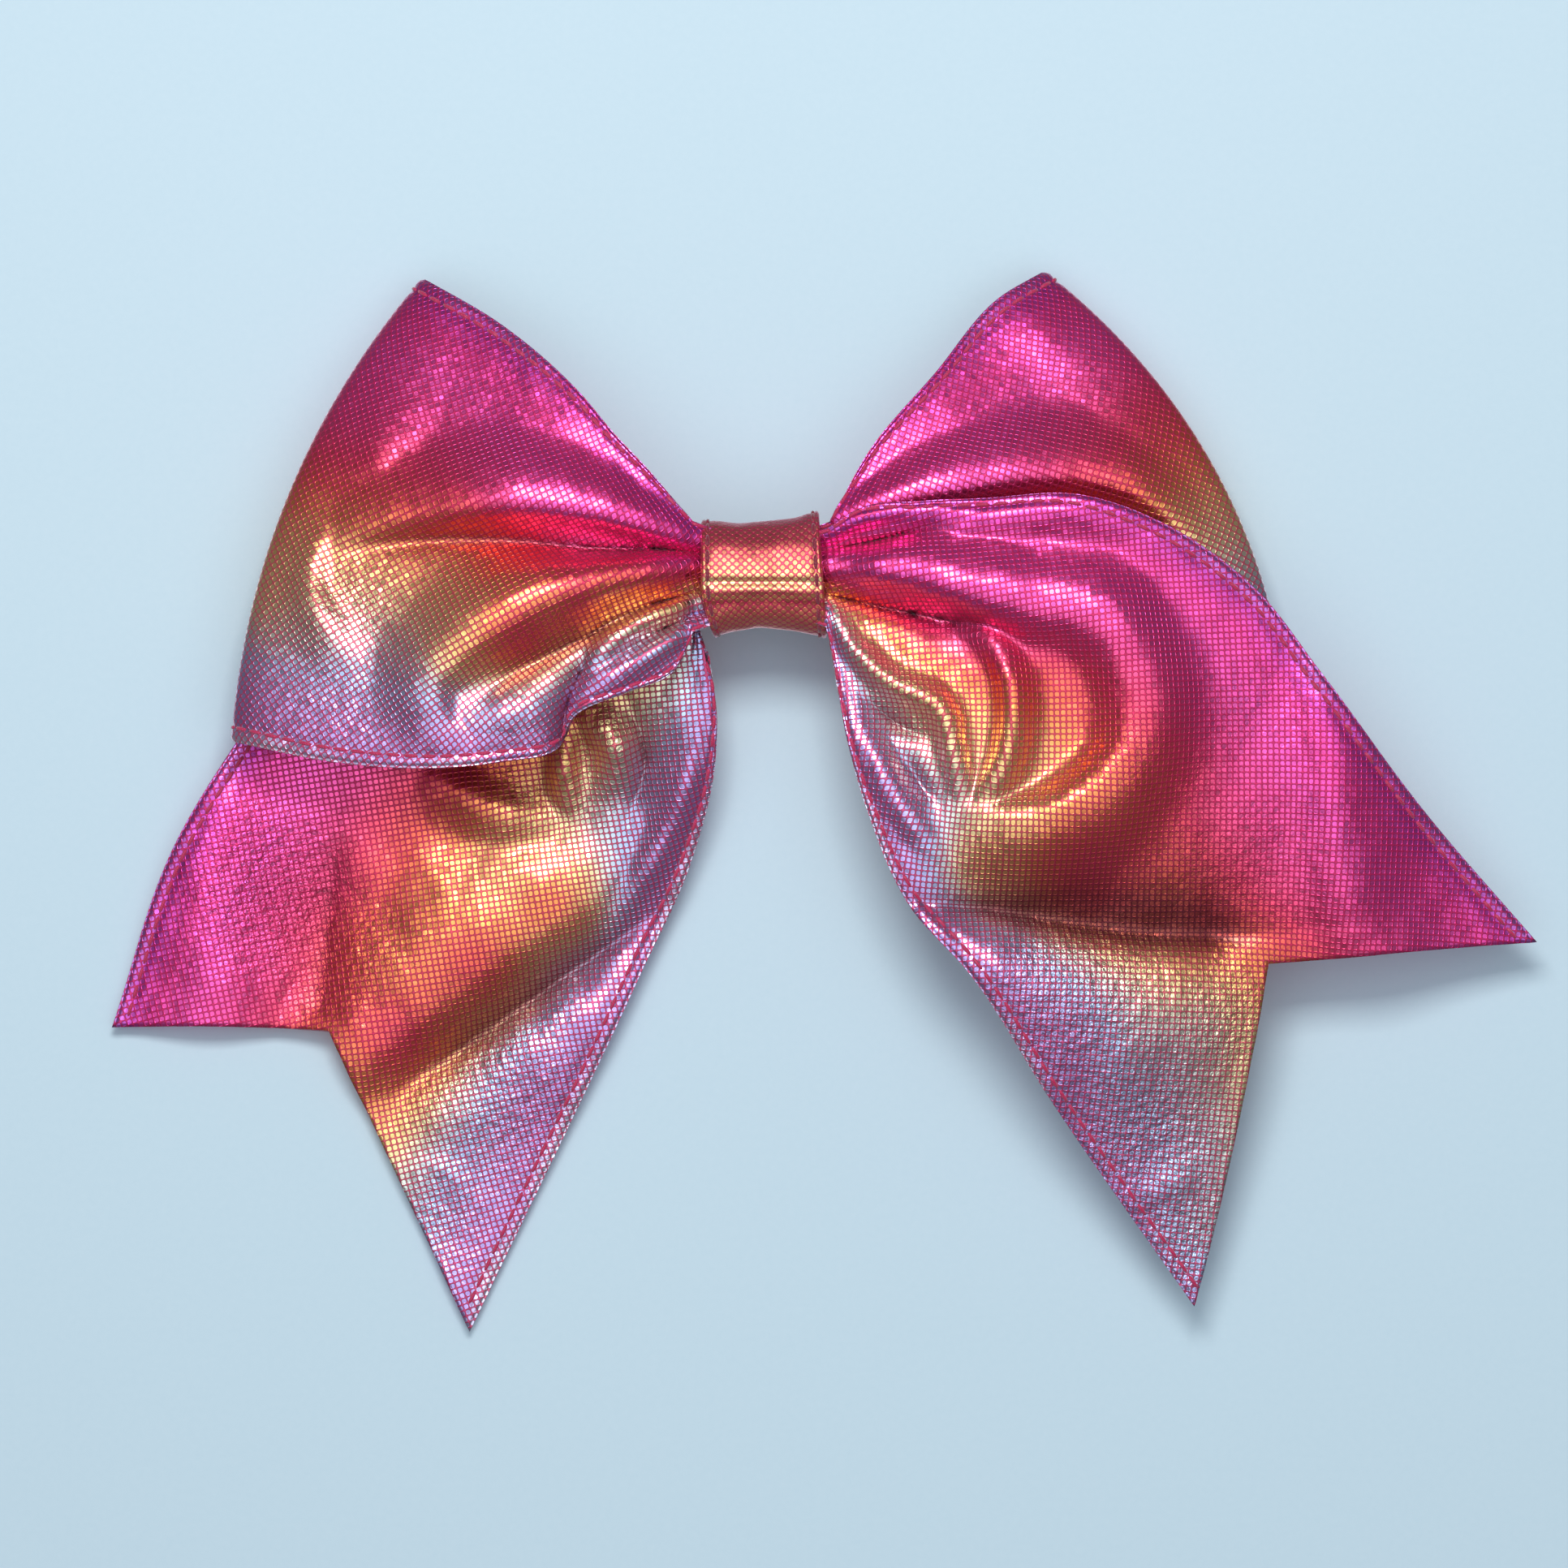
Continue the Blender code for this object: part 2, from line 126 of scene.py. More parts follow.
def rolled_edge(from_edge, radius, least=0.0):
    """How full cloth is near an edge rolled over with this radius, from least to 1."""
    return np.sqrt(np.clip(1 - (1 - np.clip(from_edge / radius, 0, 1)) ** 2, least, 1))


def placed(points):
    """From millimetres round the knot's middle to metres in the part's frame."""
    return points * MM + np.array([KNOT_X, KNOT_Y, KNOT_Z])


def through(stations, values, at):
    """A smooth line through the values at their stations, read at other stations."""
    stations = np.asarray(stations, float)
    values = np.asarray(values, float)
    slopes = np.gradient(values, stations, axis=0)
    i = np.clip(np.searchsorted(stations, at, side="right") - 1, 0, len(stations) - 2)
    span = stations[i + 1] - stations[i]
    u = (at - stations[i]) / span
    if values.ndim > 1:
        span = span[..., None]
        u = u[..., None]
    start = (1 + 2 * u) * (1 - u) ** 2 * values[i] + u * (1 - u) ** 2 * span * slopes[i]
    end = u**2 * (3 - 2 * u) * values[i + 1] + u**2 * (u - 1) * span * slopes[i + 1]
    return start + end


def hem(points, share):
    """Points at shares of a hem's length."""
    points = np.array(points, float)
    gaps = np.linalg.norm(np.diff(points, axis=0), axis=1)
    stations = np.concatenate([[0.0], np.cumsum(gaps)]) / gaps.sum()
    return through(stations, points, share)


def ripple(u, v, size, seed):
    """A smooth random field, about -1 to 1, whose bumps are about size across."""
    draw = np.random.default_rng(seed)
    total = np.zeros(np.broadcast(u, v).shape)
    for _ in range(7):
        heading = draw.uniform(0, math.pi)
        wave = 2 * math.pi / (size * draw.uniform(0.7, 1.5))
        phase = draw.uniform(0, 2 * math.pi)
        total += np.sin(wave * (math.cos(heading) * u + math.sin(heading) * v) + phase)
    return total / 4


def to_path(flat, path):
    """Each point's distance from the path, whether it lies to its left, and its share along the path."""
    line = hem(path, np.linspace(0, 1, 48))
    best = np.full(flat.shape[:2], 1e9)
    share = np.zeros(flat.shape[:2])
    left = np.zeros(flat.shape[:2], bool)
    for i in range(len(line) - 1):
        a, d = line[i], line[i + 1] - line[i]
        off = flat - a
        along = np.clip((off @ d) / (d @ d), 0, 1)
        gap = np.linalg.norm(off - along[..., None] * d, axis=-1)
        closer = gap < best
        best = np.where(closer, gap, best)
        share = np.where(closer, (i + along) / (len(line) - 1), share)
        left = np.where(closer, d[0] * off[..., 1] - d[1] * off[..., 0] > 0, left)
    return best, left, share


def along_path(values, share):
    """Values given evenly along a path, or one value for all of it, read at shares of the path."""
    values = np.atleast_1d(values)
    if len(values) == 1:
        return values[0] + 0 * share
    return np.interp(share, np.linspace(0, 1, len(values)), values)


def folds(flat, drawn):
    """Heights of ridges (positive) and creases (negative).

    Left and right are as the path is walked. Ridges that meet leave a sharp valley rather than adding up.
    Also returns painted shade for the creases, from 0 to 1, darkest in the deepest creases.
    """
    keenness = 5  # of the valleys between ridges
    ridges = np.zeros(flat.shape[:2])
    creases = np.zeros(flat.shape[:2])
    for path, heights, left_widths, right_widths, power in drawn:
        gap, left, share = to_path(flat, path)
        width = np.where(left, along_path(left_widths, share), along_path(right_widths, share))
        height = along_path(heights, share) * np.exp(-((gap / width) ** power))
        ridges += np.maximum(height, 0) ** keenness
        creases += np.minimum(height, 0)
    return ridges ** (1 / keenness) + creases, np.clip(-creases / DEEP_CREASE, 0, 1) ** 1.4


# The four panels of ribbon: hems in millimetres from the knot's middle, at rest, outwards

LEFT_LOOP_UPPER = [
    (-10.6, 8.6), (-17.3, 16.6), (-22.3, 21.9), (-27.3, 27.9), (-39.8, 38.9), (-51.6, 46),
]
LEFT_LOOP_LOWER = [
    (-10.6, -8.3), (-13.5, -14.4), (-20.8, -17.6), (-28.6, -21.4), (-30.6, -25.6), (-39.8, -28), (-52, -29),
    (-64.8, -28.1), (-80.4, -25),
]
RIGHT_LOOP_UPPER = [
    (10.6, 8.6), (16.5, 19.4), (26.5, 31.3), (36.5, 43.1), (43.1, 47.1),
]
RIGHT_LOOP_LOWER = [
    (10.6, -8.3), (24, -17), (42, -24), (62, -25), (80.2, -18.8),
]
LEFT_TAIL_OUTER = [
    (-11.2, 7.6), (-26, 11), (-48, 6), (-68, -8), (-81, -25.6), (-90, -40.6), (-99.8, -68.8),
]
LEFT_TAIL_INNER = [
    (-10.6, -7.6), (-8.4, -12), (-7.0, -18), (-6.9, -27), (-11, -44.1), (-18.5, -60.6), (-44.8, -115.6),
]
RIGHT_TAIL_OUTER = [
    (10.6, 7.6), (15, 10.4), (24, 11.6), (34, 12), (48, 12.6), (62, 7.8), (75.3, -1.8), (85.3, -14.5),
    (100.3, -34.4), (118.8, -55.6),
]
RIGHT_TAIL_INNER = [
    (10.2, -7.6), (12.0, -19), (13.4, -26), (16.0, -35), (22.6, -50), (31.5, -60), (44, -79.4),
    (66.3, -111.4),
]

# Folds: path, heights along it (creases are negative), widths to its left, widths to its right, and profile

# the crease depth, in millimetres, at which the painted shade in creases is darkest
DEEP_CREASE = 2.6
ROUND = 2
BROAD = 2.6
SHARP = 1.15
LEFT_LOOP_FOLDS = [
    (
        [(-9.5, 5.6), (-17.3, 8.1), (-29.8, 11.3), (-39.8, 12.1), (-49.8, 10.9), (-58.5, 8.8), (-65.4, 6.3)],
        [0.8, 2.6, 3.6, 3.9, 3.4, 2.2, 0.5],
        [1.3, 2.1, 2.9, 3.3, 3.3, 3.0, 2.6], [1.6, 3.6, 6.5, 8.0, 8.0, 7.0, 4.0],
        BROAD,
    ),
    (
        [(-9.5, 3.9), (-17, 4.3), (-24.8, 4.2), (-39.8, 5.6), (-52, 5.4), (-62, 4.4)],
        [-1.6, -2.6, -2.6, -2.2, -1.6, -0.4],
        [1.0, 1.6, 2.2, 2.8, 2.6, 2.2], [0.9, 1.3, 1.6, 1.9, 2.0, 2.0],
        SHARP,
    ),
    (
        [(-65.6, 8.5), (-68.8, 3.4), (-69.3, -1.5), (-66, -8), (-61.5, -14)],
        [0.4, 2.2, 2.6, 1.5, 0.3], [2.2, 2.4, 2.6, 3.2, 3.2], [3, 3.2, 3.6, 4, 4], ROUND,
    ),
    (
        [
            (-9.5, 1.9), (-17.3, 0.9), (-24.8, -0.4), (-32.3, -2.5), (-39.8, -6.3), (-46, -10.6),
            (-50.5, -16.5), (-49.6, -21), (-45.5, -25),
        ],
        [1.0, 2.8, 4.0, 4.8, 4.8, 4.2, 3.2, 2.0, 0.3],
        [1.2, 2.1, 3.2, 4.4, 5.0, 4.6, 3.8, 3.0, 2.4], [1.3, 2.6, 3.8, 5.2, 6.5, 7.0, 6.5, 5.0, 4.0],
        BROAD,
    ),
    (
        [(-9.5, -2.2), (-13.5, -3.2), (-22.3, -6.8), (-31, -11.3), (-38, -15.0), (-44, -20)],
        [-1.4, -2.2, -2.4, -2.2, -1.6, -0.3],
        [1.0, 1.2, 1.6, 2.0, 2.2, 2.2], [0.9, 1.5, 2.2, 3.0, 3.4, 3.0],
        SHARP,
    ),
    (
        [(-12, -4.4), (-17, -6.0), (-21.5, -8.6), (-25, -12), (-26.5, -16)],
        [0.8, 1.8, 2.0, 1.5, 0.4], [1.0, 1.3, 1.5, 1.8, 2.0], [0.9, 1.1, 1.3, 1.5, 1.6], ROUND,
    ),
    ([(-9.5, -5.2), (-14, -7.6), (-18.5, -10.4), (-22.5, -13.6)], [-1.0, -1.9, -1.7, -0.4], 1.1, 1.1, SHARP),
    (
        [(-9.3, -6.6), (-12.3, -8.5), (-17, -11.4), (-22, -14.4), (-27, -17.5)],
        [0.8, 2.0, 2.2, 1.5, 0.4], [1.1, 1.5, 2.0, 2.6, 3.0], [1.1, 1.4, 1.7, 2.0, 2.4], ROUND,
    ),
    ([(-24.5, -9.6), (-27.2, -14), (-29.6, -19.5), (-30.2, -25)], [-0.3, -1.8, -2.4, -2.2], 1.3, 1.8, SHARP),
    ([(-46, -21.5), (-38, -20.5), (-32, -18.6)], [0.3, 1.5, 0.3], 4.0, 3.4, ROUND),
    ([(-68, 14), (-60, 20), (-50, 24.5)], [0.4, 1.5, 0.3], 9.0, 12.0, ROUND),
    ([(-20, 16.5), (-30, 21.5), (-44, 25)], [0.1, 0.4, 0.1], 4.5, 5.5, ROUND),
]
RIGHT_LOOP_FOLDS = [
    (
        [
            (9.3, 7.6), (20.3, 11.3), (32.8, 14.6), (45.3, 16.2), (55.3, 14.6), (61.5, 11.4), (66.5, 6.8),
            (70, 2),
        ],
        [0.8, 2.6, 3.4, 3.6, 3.6, 3.0, 2.0, 0.5],
        [1.6, 3.6, 6.0, 7.4, 7.4, 6.4, 5.0, 3.6], [1.4, 2.0, 2.8, 3.2, 3.4, 3.4, 3.2, 3.0],
        BROAD,
    ),
    (
        [(9.4, 5.6), (22, 9.2), (40, 11.0), (56, 9.0), (65, 3)],
        [-1.0, -2.0, -2.0, -1.6, -0.5], 1.8, 1.8, SHARP,
    ),
    ([(50, 24.5), (58, 22), (66, 16)], [0.3, 1.5, 0.5], 6.5, 5.0, ROUND),
    ([(18, 17.5), (30, 23.5), (42, 26.5)], [0.1, 0.4, 0.1], 5.0, 5.0, ROUND),
    ([(38, 42), (43, 38), (50, 36)], [0.2, 0.6, 0.2], 5.0, 5.0, ROUND),
]
LEFT_TAIL_FOLDS = [
    (
        [(-80, -24), (-83.3, -32), (-84.3, -44), (-84.5, -55), (-84.3, -69.4)],
        [0.8, 2.4, 3.0, 3.0, 2.8], [6, 8, 9, 9, 8], [6, 7, 8, 8, 8], ROUND,
    ),
    ([(-29.8, -22), (-30.4, -29.5), (-29.1, -36)], [1.4, 3.0, 0.4], 2.0, 1.6, ROUND),
    (
        [(-52, -29.5), (-45, -33.5), (-38, -36.6), (-31, -38.5)],
        [0.4, 2.4, 2.8, 0.4], [3.0, 3.4, 3.6, 3.0], [4.0, 5.0, 5.0, 3.5], ROUND,
    ),
    ([(-26.5, -21), (-22.5, -26), (-23, -32.5)], [1.6, 3.4, 0.5], 3.0, 2.2, ROUND),
    ([(-20.5, -18), (-17.8, -28), (-20.5, -37)], [-0.5, -2.4, -0.5], 1.8, 1.8, SHARP),
    ([(-33, -27), (-33.5, -32), (-32, -36)], [-0.4, -1.2, -0.3], 1.6, 1.6, SHARP),
    (
        [(-22, -42), (-28, -47.5), (-40, -56), (-52, -64.5), (-62, -72)],
        [0.8, 3.4, 4.6, 4.6, 3.2], [5.0, 7.0, 8.0, 7.6, 7.0], [7, 11, 14, 13, 10], BROAD,
    ),
    (
        [(-13, -49), (-20.8, -54.6), (-33, -63), (-45, -71.4), (-56.6, -79.4)],
        [-0.4, -2.0, -2.6, -2.4, -0.4], [1.8, 2.2, 2.4, 2.4, 2.2], [4, 6.5, 7.5, 7.5, 6], SHARP,
    ),
    ([(-9, -20), (-11, -30), (-16, -42), (-24, -54)], [0.5, 1.8, 2.0, 0.5], 2.2, 3.0, ROUND),
    (
        [(-17.5, -61), (-27.5, -68.4), (-37.5, -75.4), (-47, -81.8), (-54.5, -87)],
        [0.6, 1.9, 2.2, 1.8, 0.5], [6, 8, 9, 9, 7], [5, 6.5, 6.5, 6.5, 5], ROUND,
    ),
    ([(-65, -34), (-66.5, -50), (-67.5, -66)], [-0.5, -1.6, -1.0], 3.0, 4.0, SHARP),
    ([(-43, -96), (-50, -90), (-56, -93)], [0.2, 0.9, 0.2], 2.4, 2.4, ROUND),
]
RIGHT_TAIL_FOLDS = [
    ([(9.3, 6.3), (15.3, 9.0), (21, 10.4)], [0.8, 1.4, 0.4], 1.3, 1.2, ROUND),
    (
        [(9.4, 4.1), (17.8, 5.6), (24, 7.4), (29, 8.8)],
        [-1.4, -2.6, -1.9, -0.3], [0.9, 1.2, 1.4, 1.4], [1.0, 1.7, 2.0, 2.0], SHARP,
    ),
    (
        [(28, 8.2), (36.5, 9.6), (45.3, 10.3), (55.3, 9.0), (62, 5)],
        [0.5, 1.6, 1.9, 1.6, 0.5], [2, 2.4, 2.6, 2.8, 3], [3, 3.6, 4, 4, 4], ROUND,
    ),
    (
        [
            (9.4, 1.9), (20.3, 1.3), (30.3, -1.3), (40.3, -3.8), (49, -5.2), (54.8, -9.6), (57.6, -17),
            (56.5, -26.0), (51.5, -31.9), (44, -35.8), (35.3, -36.6), (29.5, -35.0),
        ],
        [1.2, 3.0, 3.8, 4.2, 4.2, 4.2, 4.2, 4.2, 4.4, 4.4, 3.2, 0.8],
        [2.0, 4.0, 5.6, 6.6, 7.2, 7.2, 7.0, 7.4, 8.0, 8.6, 8.0, 6.0],
        [1.4, 2.5, 3.4, 4.2, 5.0, 5.8, 6.2, 5.8, 4.8, 3.8, 3.0, 2.4],
        BROAD,
    ),
    (
        [(9.4, -2.4), (17.8, -4.3), (27.8, -6.4), (37, -7.8)],
        [-1.4, -2.8, -2.8, -0.8], [0.9, 1.3, 1.8, 2.2], [1.0, 1.6, 2.2, 2.6], SHARP,
    ),
    (
        [(30.5, -6.8), (34.6, -9.8), (37.3, -14.8), (38.0, -21), (37.1, -27), (34.6, -32), (31.5, -35.6)],
        [0.5, 2.2, 3.0, 3.2, 3.0, 2.2, 0.5],
        [2.0, 2.6, 3.0, 3.2, 3.2, 2.8, 2.2], [1.5, 1.6, 1.7, 1.8, 1.8, 1.7, 1.6],
        ROUND,
    ),
    (
        [(10.5, -5.4), (13.6, -10.4), (20.3, -16.4), (26.8, -19.8), (29.4, -28), (30.9, -35.6)],
        [0.8, 2.0, 2.6, 2.8, 2.3, 0.8], [1.4, 2.0, 2.4, 2.4, 2.2, 1.8], [1.0, 1.3, 1.5, 1.6, 1.6, 1.5], ROUND,
    ),
    ([(15.5, -18), (21, -22.4), (26, -24.5)], [-0.6, -2.4, -0.6], 1.8, 1.8, SHARP),
    ([(13.4, -20), (17.5, -28), (22, -36), (28, -43)], [0.3, 1.6, 1.7, 0.3], 2.2, 2.2, ROUND),
    ([(20, -25.5), (24, -31), (28, -37)], [-0.3, -1.5, -0.3], 1.6, 1.6, ROUND),
    (
        [(23.5, -49.4), (33, -50.4), (45, -52.4), (56, -54), (68, -54.6), (80, -54)],
        [-1.0, -3.0, -4.0, -4.0, -3.5, -0.5],
        [4.0, 7.5, 9.5, 11.0, 11.5, 8.0], [2.2, 2.4, 2.6, 2.8, 3.2, 4.0],
        SHARP,
    ),
    (
        [(24.3, -52.5), (36, -60), (49, -65.5), (61.5, -68.5), (73, -69.5)],
        [1.2, 2.6, 3.0, 3.0, 1.8], [2.0, 5.0, 7.5, 8.5, 8.5], [4.0, 8.0, 13.0, 14.0, 12.0], ROUND,
    ),
    (
        [(83, -8), (86.5, -20), (88.6, -35.6), (89.6, -46), (94.5, -58.8)],
        [1.0, 2.8, 3.6, 3.6, 3.0], [8, 11, 12, 11, 10], [4, 5, 6, 7, 7], ROUND,
    ),
    ([(57, -73), (61, -69), (58, -66.4)], [0.2, 0.9, 0.2], 1.3, 1.3, SHARP),
    ([(55, -95), (63, -92), (66, -86)], [0.2, 1.0, 0.2], 2.6, 2.6, ROUND),
]

# Places where the ribbon's print runs further up or down its width: x, y, radius, and share of the width

TINT_SHIFTS = [
    (66, -43, 14, -0.06), (48, -46, 10, -0.26), (33, -45, 8, -0.20), (72, -66, 9, 0.07),
    (64, -102, 12, -0.13), (52, -84, 10, -0.06), (-64, 22, 9, -0.06), (-80, 0, 8, -0.04),
    (-37, -22, 7, -0.06), (44, -20, 8, 0.06), (-42, -60, 9, -0.24), (-30, -50, 8, -0.24),
    (-54, -70, 8, -0.20), (-57, -83, 8, -0.08), (-37, -10, 6, -0.26), (-27, -6, 5, -0.12),
    (-46, -13, 5, -0.12), (-73, -8, 8, -0.05),
]

# Places where the foil is crinkled: x, y, radius, and amount

CRINKLED = [
    (-75, -48, 12, 1.3), (-66, -58, 12, 0.6), (-40, -80, 15, 0.9), (-50, -98, 10, 0.7), (-34, -30, 9, 0.6),
    (-24, -26, 7, 0.7), (-64, -20, 10, 0.35), (-63, -5, 8, 0.5), (48, -66, 14, 1.2), (58, -84, 14, 1.3),
    (72, -68, 9, 1.2), (63, -100, 12, 1.2), (60, -30, 9, 0.4), (74, -44, 14, 0.5), (80, -20, 14, 0.3),
    (22, -20, 8, 0.4), (-40, 30, 8, 0.15),
]
CRINKLED_ELSEWHERE = 0.06

# Waves in the cloth itself: height and size of the large ones, then of the small ones
LOOP_WAVES = ((0.09, 14), (0.03, 5))
TAIL_WAVES = ((0.2, 13), (0.06, 5))
LEAST_GAP = 1.5  # between a loop's front and back


def mouth_rows(flat, height, layer):
    """Rows that carry the ribbon on into the knot, where it narrows and closes up round its layer's level."""
    end, narrowing, layer_closing, cloth_closing = 4.6, 0.74, 0.55, 0.5
    side = np.sign(flat[0, :, 0].mean())
    shares = np.linspace(1, 0, MOUTH_ROWS, endpoint=False)[:, None]
    first = flat[0]
    inside = np.stack([np.full(len(first), side * end), first[:, 1] * narrowing], axis=-1)
    rows = first[None] * (1 - shares[..., None]) + inside[None] * shares[..., None]
    closed = layer * layer_closing + (height[:1] - layer) * cloth_closing
    levels = height[:1] * (1 - shares) + closed * shares
    return np.concatenate([rows, flat]), np.concatenate([levels, height])


def waves(u, across, sizes, seed):
    """Low random waves in a panel, u being millimetres along it."""
    return sum(tall * ripple(u, across * RIBBON_WIDTH, size, seed + i) for i, (tall, size) in enumerate(sizes))


def held(values, before, after=0):
    """A grid with its first and last rows repeated, to match rows added before and after it."""
    return np.concatenate([values[:1].repeat(before, 0), values, values[-1:].repeat(after, 0)])


def patches(flat, drawn):
    """How crinkled the foil is at each point: strongest at the middle of each patch."""
    total = np.full(flat.shape[:2], CRINKLED_ELSEWHERE)
    for x, y, radius, amount in drawn:
        gap = np.linalg.norm(flat - np.array([x, y]), axis=-1)
        total = np.maximum(total, amount * bell(gap, radius))
    return total


def unwrapped(points):
    """The UV unwrapping of a grid of points, in no particular size or heading."""
    rows, columns = points.shape[:2]
    mesh = bpy.data.meshes.new("flattened")
    mesh.from_pydata(points.reshape(-1, 3).tolist(), [], grid_faces(rows, columns, 0, False).tolist())
    found = bpy.data.objects.new("flattened", mesh)
    bpy.context.scene.collection.objects.link(found)
    mesh.uv_layers.new(name="flat")
    bpy.context.view_layer.objects.active = found
    found.select_set(True)
    bpy.ops.object.mode_set(mode="EDIT")
    bpy.ops.mesh.select_all(action="SELECT")
    bpy.ops.uv.unwrap(method="MINIMUM_STRETCH", iterations=12, margin=0)
    bpy.ops.object.mode_set(mode="OBJECT")
    index = np.zeros(len(mesh.loops), int)
    mesh.loops.foreach_get("vertex_index", index)
    read = np.zeros(len(mesh.loops) * 2)
    mesh.uv_layers["flat"].data.foreach_get("uv", read)
    flat = np.zeros((rows * columns, 2))
    flat[index] = read.reshape(-1, 2)
    bpy.data.objects.remove(found)
    bpy.data.meshes.remove(mesh)
    return flat.reshape(rows, columns, 2)


def flatten(points):
    """Each point's place on the cloth laid flat, in millimetres, so that the printed dots keep their size."""
    flat = unwrapped(points)
    steps = np.linalg.norm(np.diff(points, axis=0), axis=-1)
    flat_steps = np.linalg.norm(np.diff(flat, axis=0), axis=-1)
    flat = flat * np.median(steps / np.maximum(flat_steps, 1e-12))
    heading = (flat[1:] - flat[:-1]).reshape(-1, 2)
    along = unit(heading[(steps > 0.2).ravel()].mean(axis=0))
    return np.stack([flat @ along, flat @ np.array([-along[1], along[0]])], axis=-1)


class Panel:
    """A panel's middle surface: a grid of points in metres, and what its cloth needs to know at each."""

    def __init__(self, flat, height, across, painted_crease_shade, print_bands):
        self.points = placed(np.dstack([flat, height]))
        out_turn = 1 if flat[0, :, 0].mean() > 0 else -1
        along, sideways = (np.gradient(self.points, axis=axis) for axis in (0, 1))
        self.normal = unit(np.cross(sideways, along)) * out_turn
        self.across = across
        middle = self.points[:, self.points.shape[1] // 2]
        lengths = np.concatenate([[0], np.cumsum(np.linalg.norm(np.diff(middle, axis=0), axis=1))]) / MM
        self.u = np.tile(lengths[:, None], (1, across.shape[1]))
        self.v = across * RIBBON_WIDTH
        self.tint = self.printed(flat, *print_bands)
        self.weave = flatten(self.points / MM)
        # the foil's crinkling, then painted shade for deep creases
        self.crinkled = np.stack([patches(flat, CRINKLED), painted_crease_shade], axis=-1)

    def printed(self, flat, bands, reach):
        """Where across the print each point lies, in millimetres, shifted by the gathering near the knot."""
        near_knot = 1 - ease(np.linalg.norm(flat, axis=-1) / reach - 0.4)
        gathered = np.interp(self.across, *bands)
        shift = np.zeros(self.across.shape)
        for x, y, radius, amount in TINT_SHIFTS:
            shift += amount * bell(np.linalg.norm(flat - np.array([x, y]), axis=-1), radius)
        return np.clip(self.across + (gathered - self.across) * near_knot + shift, 0, 1) * RIBBON_WIDTH


def hem_lines():
    """Shares across the ribbon, closer together beside the hems."""
    count = int(RIBBON_WIDTH / GRID)
    even = np.linspace(0, 1, count + 1)
    return even - HEM_CROWDING * np.sin(2 * math.pi * even)


def between(upper, lower, share, across):
    """Points between two hems, at shares of the hems' lengths and of the way across."""
    return hem(upper, share) * (1 - across[..., None]) + hem(lower, share) * across[..., None]


def loop_outline(upper, lower, bulge):
    """A loop's grid from above: shares of the way out, 1 in front or -1 behind, shares across, and places."""
    steps = np.linspace(0, 1, int(LOOP_REACH / GRID))
    outward = 1 - (1 - steps) ** FOLD_CROWDING
    share = np.concatenate([outward, outward[-2::-1]])[:, None]
    side = np.concatenate([np.ones(len(steps) - 1), [0.0], -np.ones(len(steps) - 1)])[:, None]
    across = np.tile(hem_lines()[None, :], (len(share), 1))
    share = np.tile(share, (1, across.shape[1]))
    ends = np.array([upper[-1], lower[-1]], float)
    edge = ends[1] - ends[0]
    outwards = np.array([-edge[1], edge[0]]) / np.linalg.norm(edge)
    outwards = outwards * np.sign(outwards @ ends.mean(axis=0))
    bowed = bulge * share**3 * 4 * across * (1 - across)
    return share, side, across, between(upper, lower, share, across) + bowed[..., None] * outwards


def loop_panel(upper, lower, bulge, middle, half, settle, drawn, gather, layers, seed, print_bands):
    """The middle surface of a loop: out along its front, round the fold and back behind.

    bulge bows the fold outwards. middle and half are the loop's level and half its depth, from the knot out.
    settle lowers the upper hem. gather describes the pleats behind: their count, phase, size at the knot and
    size further out. layers are the levels of the front and the back inside the knot.
    """
    share, side, across, flat = loop_outline(upper, lower, bulge)
    stations = np.linspace(0, 1, len(middle))
    centre = through(stations, middle, share)
    depth = through(stations, half, share)
    closing = np.sqrt(np.clip(1 - share ** (2 / FOLD_SQUARENESS), 0, 1)) ** FOLD_SQUARENESS
    height = centre + side * closing * depth - settle * ease(share / 0.8) * (1 - across) ** 2
    in_front = ease((side + 1) / 2)
    fold = 0.86  # share of the way out at which the fold starts
    before_fold = 1 - ease((share - fold) / (1 - fold))
    # the second value is painted shade for deep creases, kept to the front before the fold
    drapes, painted_crease_shade = folds(flat, drawn)
    height = height + drapes * in_front * before_fold
    painted_crease_shade = painted_crease_shade * in_front * before_fold
    count, phase, at_knot, at_middle = gather
    pleated, fading = 0.35, 0.5  # shares of the way out over which the pleats change size, then die out
    size = (at_knot + (at_middle - at_knot) * ease(share / pleated)) * (1 - ease((share - pleated) / fading))
    height = height + size * np.cos(2 * math.pi * (count * across + phase)) * (1 - in_front)
    u = share * 80 + np.where(side < 0, 200, 0)  # the back's waves are drawn well away from the front's
    height = height + waves(u, across, LOOP_WAVES, seed) * (0.3 + 0.7 * closing)
    least = height[::-1] + LEAST_GAP * closing
    height = np.where((side > 0) & (height < least), least, height)
    front_flat, front_height = mouth_rows(flat, height, layers[0])
    back_flat, back_height = mouth_rows(flat[::-1], height[::-1], layers[1])
    flat = np.concatenate([front_flat, back_flat[:MOUTH_ROWS][::-1]])
    height = np.concatenate([front_height, back_height[:MOUTH_ROWS][::-1]])
    across = held(across, MOUTH_ROWS, MOUTH_ROWS)
    painted_crease_shade = held(painted_crease_shade, MOUTH_ROWS, MOUTH_ROWS)
    return Panel(flat, height, across, painted_crease_shade, print_bands)


